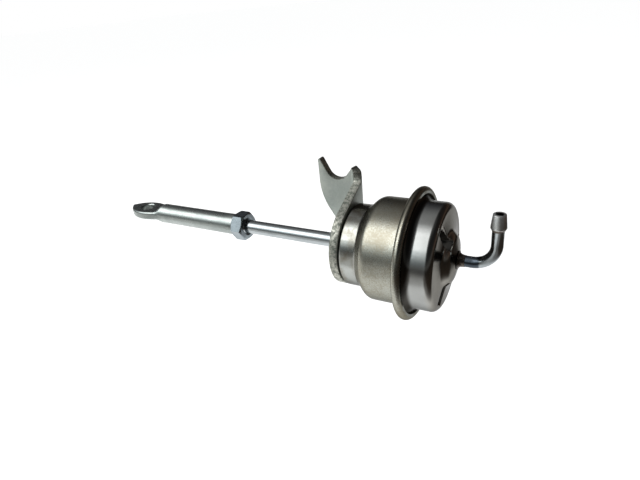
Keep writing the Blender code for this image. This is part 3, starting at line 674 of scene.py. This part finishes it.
class ACTUATOR_OT_can(bpy.types.Operator):
    """Builds the drawn can with its neck, shoulder and rolled rim"""

    bl_idname = "actuator.can"
    bl_label = "Can"

    # Millimetres, and the shoulder's slope in degrees
    hole_radius = 4.6
    floor_round = 1.0
    shoulder_slope = 45
    shoulder_round = 3.6
    wall_end = 20.2
    lip_width = 2.2
    lip_depth = 0.3
    # Small turns of the sheet, as (station, radius) counted from the neck's end and the wall's end
    neck_turn = ((-0.5, 0.0), (-0.1, 0.07), (0.25, 0.28))
    wall_turn = ((-0.35, 0.0), (-0.05, 0.06), (0.12, 0.32))

    def execute(self, context):
        sizes = context.scene.actuator_can
        finish = context.scene.actuator_finish
        satin = metal(
            "satin_zinc", finish.can_colour, (0.28, 0.26, 0.205), blotches=90.0, speckles=2100.0,
            speckle=0.9, roughness=0.25, spread=0.08, grain=(2200.0, 0.000015, 0.4), edge_tint=DRAWN_TINT)
        neck = metal(
            "drawn_neck", (0.39, 0.405, 0.385), (0.21, 0.195, 0.16), blotches=170.0, speckles=1500.0,
            speckle=0.3, roughness=0.13, spread=0.1, turning=(1300.0, 0.00002), edge_tint=DRAWN_TINT)
        floor, rim_end = ends("can_body")
        rim = round_radius("can_body")
        roll = sizes.roll_radius
        corner = self.floor_round
        path = [(floor, self.hole_radius)]
        path += arc((floor + corner, sizes.neck_radius - corner), corner, 180, 90, 6)
        path += [(sizes.neck_length + x, sizes.neck_radius + out) for x, out in self.neck_turn]
        slope = math.radians(self.shoulder_slope)
        bend = self.shoulder_round
        rise = sizes.wall_radius - bend * (1 - math.cos(slope)) - sizes.neck_radius
        crest = sizes.neck_length + rise / math.tan(slope) + bend * math.sin(slope)
        path += arc((crest, sizes.wall_radius - bend), bend, 90 + self.shoulder_slope, 90, 10)
        # The wall turns out, runs tangent to the rolled rim and is closed by the lip over the cover
        foot = Vector((self.wall_end, sizes.wall_radius))
        centre = (rim_end - roll, rim - roll)
        reach = Vector(centre) - foot
        heading = math.degrees(math.atan2(reach.y, reach.x) + math.asin(roll / reach.length))
        path += [(foot.x + x, foot.y + out) for x, out in self.wall_turn]
        path += arc(centre, roll, 90 + heading, 0, 24)
        path.append((rim_end, rim - self.lip_width))
        builder = spun(sheet_section(path, sizes.sheet), 144)
        for face in builder.faces:
            middle = face.calc_center_median()
            lip = middle.x > rim_end - self.lip_depth and math.hypot(middle.y, middle.z) < rim - roll
            if middle.x < sizes.neck_length + self.lip_depth or lip:
                face.material_index = 1
        finish_piece("can_shell", builder, "housing", ["can_body"], [satin, neck])
        return {"FINISHED"}


class ACTUATOR_OT_cover(bpy.types.Operator):
    """Builds the drawn cover with its hub and its radial stop grooves"""

    bl_idname = "actuator.cover"
    bl_label = "Cover"

    # Stations and radii in millimetres. The hub's flank is (radius, rise over the face)
    sheet = 0.6
    face = 32.25
    corner = 2.2
    face_rise = 0.65
    face_curve = 1.4
    hub_radius = 10.0
    flank = (
        (9.7, 0.73), (9.4, 0.86), (9.15, 1.02), (8.95, 1.2), (8.75, 1.4), (8.5, 1.64), (8.25, 1.88),
        (8.0, 2.1), (7.75, 2.3), (7.45, 2.5), (7.2, 2.63), (6.9, 2.75), (6.5, 2.87))
    crown = 0.98
    tube_hole = 1.95
    groove_bottom = 31.0
    groove_flat_share = 0.7
    groove_start = (7.2, 8.2)
    groove_end = (14.6, 15.6)

    def execute(self, context):
        sizes = context.scene.actuator_cover
        finish = context.scene.actuator_finish
        foot = ends("cover")[0] + self.sheet
        # The first band darkens and warms the face from station 29.6. The second band is painted shade: it
        # darkens the wall towards the clamped flange, in the channel where shade falls.
        smooth = metal(
            "smooth_steel", finish.cover_colour, (0.33, 0.335, 0.325), blotches=60.0, speckle=0.25,
            roughness=0.15, spread=0.06, grain=(2200.0, 0.0000015, 0.3), edge_tint=DRAWN_TINT,
            stains_and_shade=((29.6, 32.0, (0.92, 0.87, 0.82)), (foot + 2.9, foot + 1.4, (0.2, 0.19, 0.18))))
        path = self.face_path(sizes, foot)
        builder = spun(sheet_section(path, self.sheet), 320)
        bottom = self.groove_bottom
        outward = sorted((radius, x) for x, radius in path if x >= bottom - 1.0)
        for vert in builder.verts:
            if vert.co.x < bottom - 1.1:
                continue
            radius = math.hypot(vert.co.y, vert.co.z)
            turn = math.atan2(vert.co.z, vert.co.y) - sizes.groove_angle
            turn = (turn + math.pi / 3) % (math.tau / 3) - math.pi / 3
            share = self.groove_share(radius * math.cos(turn), radius * math.sin(turn), sizes)
            if share > 0.0:
                vert.co.x -= share * max(0.0, self.face_station(radius, outward, bottom) - bottom)
        finish_piece("cover_shell", builder, "housing", ["cover"], [smooth], sharp=60.0)
        return {"FINISHED"}

    def face_path(self, sizes, flange):
        """The outer side's path, from the clamped flange up the wall and over the face to the tube."""
        face = self.face
        corner = self.corner
        wall = sizes.wall_radius
        fillet = sizes.foot_fillet
        path = [(flange, round_radius("cover"))]
        path += arc((flange + fillet, wall + fillet), fillet, 180, 270, 14)
        path += arc((face - corner, wall - corner), corner, 90, 0, 20)
        for i in range(1, 21):
            share = i / 20
            radius = wall - corner + (self.hub_radius - wall + corner) * share
            path.append((face + self.face_rise * share ** self.face_curve, radius))
        path += [(face + rise, radius) for radius, rise in self.flank]
        edge, rise = self.flank[-1]
        for i in range(1, 9):
            share = i / 8
            path.append((face + rise + self.crown * share, edge + (self.tube_hole - edge) * share))
        return path

    def face_station(self, radius, outward, bottom):
        """The outer face's station at a radius, from its (radius, station) points."""
        for (r_one, x_one), (r_two, x_two) in zip(outward, outward[1:]):
            if r_one <= radius <= r_two and r_two > r_one:
                return x_one + (x_two - x_one) * (radius - r_one) / (r_two - r_one)
        return bottom

    def groove_share(self, along, across, sizes):
        """From 0 on the face to 1 on the groove's flat bottom."""
        half = sizes.groove_half_width
        side = 1.0 - ramp(abs(across), half * self.groove_flat_share, half)
        return side * ramp(along, *self.groove_start) * (1.0 - ramp(along, *self.groove_end))


class ACTUATOR_OT_nipple(bpy.types.Operator):
    """Builds the bent hose nipple and the braze at its foot"""

    bl_idname = "actuator.nipple"
    bl_label = "Hose Nipple"

    tube_sides = 48
    # Millimetres: from the barb's foot to the tube's end, and up to the barb's widest place
    barb_height = 5.45
    barb_slope = 1.05
    # Steps are (height from the widest place or from the tube's end, growth of the radius)
    barb_steps = ((-1.05, 0.0), (-0.95, 0.04), (-0.08, 0.5), (0.0, 0.55), (0.12, 0.55), (0.35, 0.53))
    mouth_steps = ((-0.15, 0.12), (-0.05, 0.07), (0.0, -0.02))
    bore_steps = ((-0.12, 0.0), (0.0, 0.1))
    shoulder_height = 1.0
    burnt_fade = 0.8
    # The braze, with lumps that move its surface along the rod and inwards by these shares
    braze_gap = 0.02
    braze_edge = 0.1
    braze_foot = 0.3
    braze_rise = 0.97
    lump_size = 0.22
    lumps_per_mm = 0.9
    lump_shares = (0.8, 0.6)

    def execute(self, context):
        sizes = context.scene.actuator_nipple
        finish = context.scene.actuator_finish
        burnt = ends("nipple_braze")[1] + sizes.burnt_length
        bright = metal(
            "bright_zinc_tube", finish.bright_colour, (0.32, 0.35, 0.36), blotches=260.0, speckles=3600.0,
            roughness=0.12, grain=(2600.0, 0.000003, 0.3),
            stains_and_shade=((burnt + self.burnt_fade, burnt, (0.16, 0.18, 0.21)),))
        turned = metal(
            "turned_barb", (0.9, 0.92, 0.91), (0.75, 0.77, 0.76), blotches=500.0, speckles=3600.0,
            speckle=0.4, roughness=0.36, spread=0.1, grain=(2600.0, 0.000005, 0.3))
        dark = metal(
            "braze", finish.braze_colour, (0.2, 0.17, 0.14), blotches=500.0, speckles=1500.0,
            speckle=0.7, roughness=0.3, spread=0.3, grain=(900.0, 0.00009, 0.5))
        self.tube(sizes, [bright, turned, dark])
        self.braze(sizes, dark)
        return {"FINISHED"}

    def tube(self, sizes, materials):
        """The bent tube. A dark shoulder and a turned tip follow above the barb's foot."""
        outer = self.rings(sizes, False)
        inner = self.rings(sizes, True)
        builder = lofted([self.tube_ring(*ring) for ring in outer + inner[::-1]], capped=False)
        barb = self.barb_foot()
        for face in builder.faces:
            height = face.calc_center_median().z - barb
            if height > -0.05:
                face.material_index = 1 if height > self.shoulder_height else 2
        finish_piece("nipple_tube", builder, "housing", ["hose_nipple"], materials)

    def braze(self, sizes, dark):
        """A hollow fillet round the tube, made lumpy."""
        foot, crest = ends("nipple_braze")
        inside = sizes.tube_radius + self.braze_gap
        edge = self.braze_edge
        wide = round_radius("nipple_braze")
        section = [(foot, inside), (crest, inside), (crest - 0.02, inside + edge)]
        for i in range(1, 9):
            share = i / 9
            section.append((
                crest - (crest - foot) * (1 - (1 - share) ** 2) * self.braze_rise,
                inside + edge + (wide - inside - edge) * share ** 2))
        section.append((foot, wide))
        builder = spun(section, 64)
        along, across = self.lump_shares
        for vert in builder.verts:
            if math.hypot(vert.co.y, vert.co.z) > inside + edge / 2:
                lump = noise.noise(vert.co * self.lumps_per_mm) * self.lump_size
                away = Vector((0, vert.co.y, vert.co.z)).normalized()
                vert.co -= away * abs(lump) * across
                vert.co.x += min(0.0, lump) * along if vert.co.x > foot + self.braze_foot else 0.0
        finish_piece("braze_fillet", builder, "housing", ["nipple_braze"], [dark], 60.0)

    def barb_foot(self):
        """Height above the rod's axis where the barb starts."""
        return top_height("hose_nipple") - self.barb_height

    def rings(self, sizes, inside):
        """(centre, direction, radius) along the tube; the bore has no barb."""
        start, end = ends("hose_nipple")
        riser = end - sizes.barb_radius
        top = top_height("hose_nipple")
        bend = sizes.bend_radius
        radius = sizes.bore_radius if inside else sizes.tube_radius
        rings = [(Vector((start, 0, 0)), 0.0, radius)]
        for i in range(25):
            angle = math.pi / 2 * i / 24
            centre = Vector((riser - bend + bend * math.sin(angle), 0, bend - bend * math.cos(angle)))
            rings.append((centre, angle, radius))
        barb = self.barb_foot() + self.barb_slope
        steps = [(barb + height, extra) for height, extra in self.barb_steps]
        steps += [(top + height, extra) for height, extra in self.mouth_steps]
        if inside:
            steps = [(top + height, extra) for height, extra in self.bore_steps]
        for height, extra in steps:
            rings.append((Vector((riser, 0, height)), math.pi / 2, radius + extra))
        return rings

    def tube_ring(self, centre, angle, radius):
        """A ring of points square to the tube's line, which rises by angle from the rod's axis."""
        upwards = Vector((-math.sin(angle), 0, math.cos(angle)))
        return circle(centre, Vector((0, 1, 0)), upwards, radius, self.tube_sides)


class ACTUATOR_OT_rod(bpy.types.Operator):
    """Builds the push rod, its jam nut and its rod end"""

    bl_idname = "actuator.rod"
    bl_label = "Rod"

    # Millimetres. The thread runs out this far before the nut's inner face
    rod_chamfer = 0.6
    thread_runout = (0.5, 0.1)
    shoulder_gap = 0.1
    journal_radius = 2.0
    # Steps are (distance from the inner end, radius)
    head_steps = ((1.2, 2.0), (1.2, 3.4), (0.6, 3.2), (0.0, 1.9), (0.0, 0))
    thread_gap = 0.05
    # The nut's flat faces end at this radius, and a cone of this many degrees cuts its corners
    nut_cone = 4.75
    nut_slope = 30
    nut_sink_radius = 3.6
    nut_sink_depth = 0.5
    nut_steps = 96
    # Stations where the sleeve ends, the pressed flat starts and the eye is widest, and of its hole
    taper = -90.2
    flat = -94.2
    widest = -99.8
    eye = -101.2
    eye_round = 0.95
    tip_curve = 0.6
    bore_depth = 20.0
    bore_sink = 0.4
    # Steps are (distance from the mouth, cut from the radius)
    sleeve_chamfer = ((0.0, 0.35), (0.12, 0.12), (0.35, 0.0))
    eye_chamfer = 0.35
    punch_reach = 1.0

    def execute(self, context):
        sizes = context.scene.actuator_rod
        finish = context.scene.actuator_finish
        bright = metal(
            "bright_zinc_rod", finish.bright_colour, (0.34, 0.37, 0.38), speckles=3000.0, speckle=0.25,
            roughness=0.13, spread=0.1, grain=(2600.0, 0.000002, 0.3), turning=(2600.0, 0.000002))
        satin = metal(
            "satin_zinc_end", (0.37, 0.4, 0.385), (0.29, 0.32, 0.31), blotches=160.0, speckle=0.6,
            roughness=0.26, spread=0.1, grain=(2600.0, 0.000006, 0.3))
        dull = metal(
            "dull_zinc_nut", (0.27, 0.31, 0.33), (0.2, 0.23, 0.25), blotches=240.0, speckle=0.4,
            roughness=0.2, spread=0.15, grain=(2600.0, 0.000004, 0.3))
        self.rod(sizes, bright)
        self.nut(sizes, dull)
        self.rod_end(sizes, satin)
        return {"FINISHED"}

    def rod(self, sizes, bright):
        end, head = ends("actuator_rod")
        nut_face = ends("jam_nut")[1]
        shoulder = ends("cup_washer")[0] - self.shoulder_gap
        runout_start, runout_end = self.thread_runout
        thread = sizes.thread_radius
        shank = sizes.shank_radius
        section = [
            (end, 0), (end, thread - self.rod_chamfer), (end + self.rod_chamfer, thread),
            (nut_face - runout_start, thread), (nut_face - runout_end, shank), (shoulder, shank),
            (shoulder, self.journal_radius)]
        section += [(head - back, radius) for back, radius in self.head_steps]
        builder = spun(section, 96, closed=False)
        finish_piece("push_rod", builder, "rod", ["actuator_rod"], [bright])

    def nut(self, sizes, dull):
        """Rings of points that follow the hexagon, with both faces cut back by a cone."""
        left, right = ends("jam_nut")
        flat = sizes.nut_flats / 2
        slope = math.tan(math.radians(self.nut_slope))
        bore = sizes.thread_radius + self.thread_gap
        cone = self.nut_cone
        sink = self.nut_sink_radius
        depth = self.nut_sink_depth
        angles = [math.tau * i / self.nut_steps for i in range(self.nut_steps)]

        def ring(x, radius):
            return [(x, radius * math.cos(angle), radius * math.sin(angle)) for angle in angles]

        def hexagon(face, inward):
            points = []
            for angle in angles:
                radius = flat / math.cos(angle % (math.pi / 3) - math.pi / 6)
                back = max(0.0, radius - cone) * slope
                points.append((face + inward * back, radius * math.cos(angle), radius * math.sin(angle)))
            return points

        loops = [ring(left + depth, bore), ring(left, sink), ring(left, cone), hexagon(left, 1)]
        loops += [hexagon(right, -1), ring(right, cone), ring(right, sink), ring(right - depth, bore)]
        builder = lofted(loops, capped=False)
        finish_piece("hex_nut", builder, "nut", ["jam_nut"], [dull], 25.0)

    def rod_end(self, sizes, satin):
        """Sections from the bottom of the bore out to the mouth and back along the bar to its tip."""
        tip, start = ends("rod_end")
        sleeve = sizes.sleeve_radius
        thick = sizes.eye_half_thickness
        bore = sizes.thread_radius + self.thread_gap
        sink = self.bore_sink
        rounds = [(start - self.bore_depth, bore), (start - sink, bore), (start, bore + sink)]
        rounds += [(start - back, sleeve - cut) for back, cut in self.sleeve_chamfer]
        rounds += [(start + (self.taper - start) * i / 8, sleeve) for i in range(1, 8)]
        rounds.append((self.taper, sleeve))
        loops = [self.section(x, radius, radius, radius) for x, radius in rounds]
        for i in range(1, 15):
            share = i / 14
            x = self.taper + (self.flat - self.taper) * share
            height = sleeve + (thick - sleeve) * ramp(share, 0, 1)
            corner = sleeve + (self.eye_round - sleeve) * share
            loops.append(self.section(x, max(self.half_width(x, tip, sizes), corner), height, corner))
        for i in range(1, 40):
            x = self.flat + (tip - self.flat) * math.sin(math.pi / 2 * i / 40)
            width = self.half_width(x, tip, sizes)
            loops.append(self.section(x, width, thick, min(self.eye_round, width * 0.5)))
        piece = finish_piece(
            "rod_end_bar", lofted(loops), "end", ["rod_end"], [satin], 40.0)
        self.pierce(piece, sizes)

    def half_width(self, x, tip, sizes):
        """Half the bar's width: sleeve, pressed eye, and the eye's leaf-shaped tip."""
        if x <= self.widest:
            share = (self.widest - x) / (self.widest - tip)
            return sizes.eye_half_width * max(0.0, 1.0 - share * share) ** self.tip_curve
        share = ramp(x, self.widest, self.taper)
        return sizes.eye_half_width + (sizes.sleeve_radius - sizes.eye_half_width) * share

    def section(self, x, half_width, half_height, corner):
        """A rounded rectangle square to the rod's axis."""
        flat_y = half_width - corner
        flat_z = half_height - min(corner, half_height)
        points = []
        for i in range(64):
            angle = math.tau * (i + 0.5) / 64
            y = math.copysign(flat_y, math.cos(angle)) + corner * math.cos(angle)
            z = math.copysign(flat_z, math.sin(angle)) + (half_height - flat_z) * math.sin(angle)
            points.append((x, y, z))
        return points

    def pierce(self, piece, sizes):
        """Cuts the eye's hole, with a small chamfer at each mouth, and keeps the cut mesh."""
        top = sizes.eye_half_thickness
        hole = sizes.eye_hole_radius
        cut = self.eye_chamfer
        end = top + self.punch_reach
        wide = hole + self.punch_reach + cut
        profile = [(-end, 0), (-end, wide), (-top + cut, hole), (top - cut, hole), (end, wide), (end, 0)]
        builder = spun(profile, 64, closed=False)
        upright = ON_AXIS @ Matrix.Translation((self.eye, 0, 0)) @ Matrix.Rotation(-math.pi / 2, 4, "Y")
        bmesh.ops.transform(builder, matrix=upright, verts=builder.verts)
        punch = new_object("eye_punch", mesh_from(builder, "eye_punch"))
        modifier = piece.modifiers.new("eye_hole", "BOOLEAN")
        modifier.object = punch
        modifier.solver = "EXACT"
        evaluated = piece.evaluated_get(bpy.context.evaluated_depsgraph_get())
        pierced = bpy.data.meshes.new_from_object(evaluated)
        piece.modifiers.clear()
        piece.data = pierced
        bpy.data.objects.remove(punch)
        smooth_mesh(pierced, 35)


class ACTUATOR_OT_inside(bpy.types.Operator):
    """Finishes the pieces inside the can and at the rod's seal"""

    bl_idname = "actuator.inside"
    bl_label = "Inner Pieces"

    steps_per_turn = 42
    wire_sides = 12
    # Pitch of the close turns in wire radii
    close_pitch = 2.16

    def execute(self, context):
        steel = metal(
            "plain_steel", (0.46, 0.46, 0.45), (0.36, 0.36, 0.35), blotches=110.0,
            grain=(2600.0, 0.000004, 0.3))
        bronze = metal(
            "bush_bronze", (0.55, 0.37, 0.17), (0.42, 0.27, 0.12), blotches=200.0,
            grain=(2200.0, 0.000005, 0.3))
        black = rubber("black_rubber")
        finishes = (
            (bronze, ("guide_bush",)),
            (black, ("rod_seal", "diaphragm")),
            (steel, ("return_spring", "spring_seat", "piston_cup", "diaphragm_plate", "cup_washer",
                     "head_washer", "seal_cap")),
        )
        for finish, names in finishes:
            for name in names:
                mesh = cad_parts[name].data
                mesh.materials.clear()
                mesh.materials.append(finish)
        self.spring(context.scene.actuator_spring, steel)
        return {"FINISHED"}

    def spring(self, sizes, steel):
        """The return spring, with close turns at its ends."""
        first = low("return_spring")
        last = high("return_spring")
        line = self.coil(sizes, station(first.x) + sizes.wire_radius, station(last.x) - sizes.wire_radius)
        loops = []
        for i, point in enumerate(line):
            along = (line[min(len(line) - 1, i + 1)] - line[max(0, i - 1)]).normalized()
            outward = Vector((0, point.y, point.z)).normalized()
            outward = (outward - along * outward.dot(along)).normalized()
            loops.append(circle(point, outward, along.cross(outward), sizes.wire_radius, self.wire_sides))
        piece = finish_piece(
            "spring_wire", lofted(loops), "housing", ["return_spring"], [steel], sharp=60.0)
        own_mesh(piece)

    def coil(self, sizes, start, end):
        """Points along the middle of the wire."""
        steps = self.steps_per_turn
        radius = round_radius("return_spring") - sizes.wire_radius
        close_rise = sizes.close_turns * sizes.wire_radius * self.close_pitch
        open_turns = sizes.turns - 2 * sizes.close_turns
        open_rise = end - start - 2 * close_rise
        line = []
        for i in range(int(sizes.turns * steps) + 1):
            turn = i / steps
            lower = min(1.0, turn / sizes.close_turns)
            upper = min(1.0, (sizes.turns - turn) / sizes.close_turns)
            share = min(1.0, max(0.0, (turn - sizes.close_turns) / open_turns))
            lift = start + close_rise * lower + open_rise * share + close_rise * (1 - upper)
            angle = math.tau * turn
            line.append(Vector((lift, radius * math.cos(angle), radius * math.sin(angle))))
        return line


class ACTUATOR_OT_stage(bpy.types.Operator):
    """Makes the floor, the softbox, the world and the camera"""

    bl_idname = "actuator.stage"
    bl_label = "Stage"

    sensor_width = 36.0
    clip_range = (0.01, 20.0)
    floor_half_width = 12.0
    # The floor fades along X plus a share of Y
    right_slant = -0.03
    corner_slant = -0.45
    near_slant = 5.0
    # Each weaker band of the softbox is larger than the last and lies a little farther away
    band_growth = (0.06, 0.2)
    band_step = 0.02
    # Directions between which the room's near walls turn into far ones, and left ones into right ones
    near_to_far = (-0.25, 0.15)
    left_to_right = (-0.2, 0.1)
    # Each wall's colours over the height of the direction
    walls = {
        "far_left": (
            (0.0, (1, 1, 1)), (0.055, (1, 1, 1)), (0.08, (0.07, 0.06, 0.05)), (0.3, (0.04, 0.04, 0.045)),
            (0.6, (0.13, 0.13, 0.135)), (0.85, (0.33, 0.33, 0.33)), (1.0, (0.5, 0.5, 0.5))),
        "near_left": (
            (0.0, (0.2, 0.2, 0.19)), (0.12, (0.22, 0.24, 0.25)), (0.3, (0.5, 0.55, 0.56)),
            (0.45, (0.3, 0.38, 0.4)), (0.7, (0.4, 0.42, 0.42)), (1.0, (0.5, 0.5, 0.5))),
        "far_right": (
            (0.0, (0.16, 0.12, 0.1)), (0.12, (0.12, 0.08, 0.06)), (0.3, (0.035, 0.028, 0.025)),
            (0.8, (0.02, 0.02, 0.02)), (1.0, (0.08, 0.08, 0.08))),
        "near_right": (
            (0.0, (0.14, 0.14, 0.135)), (0.3, (0.03, 0.03, 0.03)), (0.8, (0.02, 0.02, 0.02)),
            (1.0, (0.08, 0.08, 0.08))),
    }

    def execute(self, context):
        stage = context.scene.actuator_stage
        self.floor(stage)
        length, width = stage.softbox_size
        longer, wider = self.band_growth
        for i, level in enumerate((stage.softbox_level, *stage.softbox_edges)):
            size = (length + longer * i, width + wider * i)
            place = Vector(stage.softbox_place) * (1.0 + self.band_step * i)
            self.softbox("overhead_" + str(i + 1), place, size, level)
        self.world()
        self.camera(context)
        context.scene.view_settings.view_transform = "Standard"
        return {"FINISHED"}

    def floor(self, stage):
        """A pale floor that fades to darker tones on the right and on the camera's side. It also glows
        for the camera and for reflections, less where it fades."""
        level = cad_box[0].z - stage.floor_drop * MM
        builder = bmesh.new()
        bmesh.ops.create_grid(
            builder, x_segments=1, y_segments=1, size=self.floor_half_width,
            matrix=Matrix.Translation((0, 0, level)))
        mesh = mesh_from(builder, "floor")
        made, tree, shader = new_material("pale_floor")
        parts = split_vector(tree, (-1300, 200), object_place(tree, (-1500, 200)))
        fades = (
            (self.right_slant, stage.fade_right, (1.0, 0.0)),
            (self.corner_slant, stage.fade_corner, (1.0, stage.corner_glow)),
            (self.near_slant, stage.fade_near, (stage.near_glow, 1.0)),
        )
        edges = []
        for i, (slant, limits, results) in enumerate(fades):
            height = 260 - 200 * i
            slanted = calculate(tree, (-1100, height), "MULTIPLY_ADD", parts["Y"], slant, parts["X"])
            edges.append(map_range(tree, (-900, height), slanted, limits, results))
        right = calculate(tree, (-740, 260), "MULTIPLY", edges[0], edges[1])
        lit = calculate(tree, (-740, 80), "MULTIPLY", right, edges[2])
        front = mix_colours(
            tree, (-640, 460), edges[2], opaque(stage.near_shade), opaque(stage.floor_colour))
        tone = mix_colours(tree, (-460, 300), right, opaque(stage.right_shade), front)
        rays = add_node(tree, "LightPath", (-700, -200), {}).outputs
        seen = calculate(tree, (-500, -200), "MAXIMUM", rays["Is Camera Ray"], rays["Is Glossy Ray"])
        through = calculate(tree, (-320, -200), "MAXIMUM", seen, rays["Is Transmission Ray"])
        glow = calculate(tree, (-140, -200), "MULTIPLY", through, stage.floor_glow)
        fill(tree, shader, {
            "Base Color": tone, "Roughness": 1.0, "Specular IOR Level": 0.0,
            "Emission Color": (1, 1, 1, 1),
            "Emission Strength": calculate(tree, (-140, -20), "MULTIPLY", glow, lit)})
        mesh.materials.append(made)
        floor = new_object("floor", mesh)

    def softbox(self, name, place, size, level):
        """A rectangular lamp, long way along the rod and facing it, with the given brightness."""
        lamp = bpy.data.lights.new(name, "AREA")
        lamp.shape = "RECTANGLE"
        lamp.size, lamp.size_y = size
        lamp.energy = math.pi * size[0] * size[1] * level
        made = new_object(name, lamp)
        made.location = place
        aim = Vector((place[0], ROD_Y, ROD_Z))
        made.rotation_euler = (aim - Vector(place)).to_track_quat("-Z", "Y").to_euler()

    def world(self):
        """A plain room: white past the floor's far edge, dark behind the actuator and to its right,
        cool and paler on the camera's side, and paler towards the ceiling."""
        world = bpy.data.worlds.new("studio")
        bpy.context.scene.world = world
        world.use_nodes = True
        tree = world.node_tree
        direction = add_node(tree, "TexCoord", (-1100, 0), {}).outputs["Generated"]
        parts = split_vector(tree, (-900, 0), direction)
        shades = {}
        for i, (name, colours) in enumerate(self.walls.items()):
            shades[name] = self.wall(tree, 400 - 260 * i, parts["Z"], colours)
        depth = map_range(tree, (-640, -700), parts["Y"], self.near_to_far)
        width = map_range(tree, (-640, -960), parts["X"], self.left_to_right)
        left = mix_colours(tree, (-300, 200), depth, shades["near_left"], shades["far_left"])
        right = mix_colours(tree, (-300, -200), depth, shades["near_right"], shades["far_right"])
        shown = mix_colours(tree, (-120, 0), width, left, right)
        fill(tree, tree.nodes["Background"], {"Color": shown})

    def wall(self, tree, height, direction, colours):
        """A colour ramp over the height of the direction."""
        made = add_node(tree, "ValToRGB", (-640, height), {"Fac": direction})
        points = made.color_ramp.elements
        for point, (position, colour) in zip(points, (colours[0], colours[-1])):
            point.position = position
            point.color = opaque(colour)
        for position, colour in colours[1:-1]:
            points.new(position).color = opaque(colour)
        return made.outputs["Color"]

    def camera(self, context):
        view = context.scene.actuator_camera
        data = bpy.data.cameras.new("camera")
        data.sensor_width = self.sensor_width
        data.lens = view.lens
        data.clip_start, data.clip_end = self.clip_range
        camera = new_object("camera", data)
        turn = Matrix.Rotation(view.azimuth, 4, "Z")
        turn = turn @ Matrix.Rotation(math.pi / 2 - view.elevation, 4, "X")
        turn = turn @ Matrix.Rotation(view.roll, 4, "Z")
        camera.matrix_world = Matrix.Translation(view.place) @ turn
        context.scene.camera = camera


class ACTUATOR_PT_panel(bpy.types.Panel):
    """Lists the actuator's pieces"""

    bl_label = "Actuator"
    bl_idname = "ACTUATOR_PT_panel"
    bl_space_type = "VIEW_3D"
    bl_region_type = "UI"
    bl_category = "Actuator"

    def draw(self, context):
        for operator in OPERATORS:
            self.layout.operator(operator.bl_idname)
        for name in SETTINGS:
            box = self.layout.box()
            group = getattr(context.scene, name)
            for key in group.bl_rna.properties.keys():
                if key not in {"rna_type", "name"}:
                    box.prop(group, key)


OPERATORS = (
    ACTUATOR_OT_bracket, ACTUATOR_OT_can, ACTUATOR_OT_cover, ACTUATOR_OT_nipple, ACTUATOR_OT_rod,
    ACTUATOR_OT_inside, ACTUATOR_OT_stage,
)

SETTINGS = {
    "actuator_camera": CameraSettings,
    "actuator_stage": StageSettings,
    "actuator_bracket": BracketSettings,
    "actuator_can": CanSettings,
    "actuator_cover": CoverSettings,
    "actuator_nipple": NippleSettings,
    "actuator_rod": RodSettings,
    "actuator_spring": SpringSettings,
    "actuator_finish": FinishSettings,
}


def register():
    for made in (*SETTINGS.values(), *OPERATORS, ACTUATOR_PT_panel):
        bpy.utils.register_class(made)
    for name, group in SETTINGS.items():
        setattr(bpy.types.Scene, name, bpy.props.PointerProperty(type=group))


def unregister():
    for name in SETTINGS:
        delattr(bpy.types.Scene, name)
    for made in reversed((*SETTINGS.values(), *OPERATORS, ACTUATOR_PT_panel)):
        bpy.utils.unregister_class(made)


def main():
    register()
    bpy.ops.actuator.bracket()
    bpy.ops.actuator.can()
    bpy.ops.actuator.cover()
    bpy.ops.actuator.nipple()
    bpy.ops.actuator.rod()
    bpy.ops.actuator.inside()
    bpy.ops.actuator.stage()


if __name__ == "__main__":
    main()
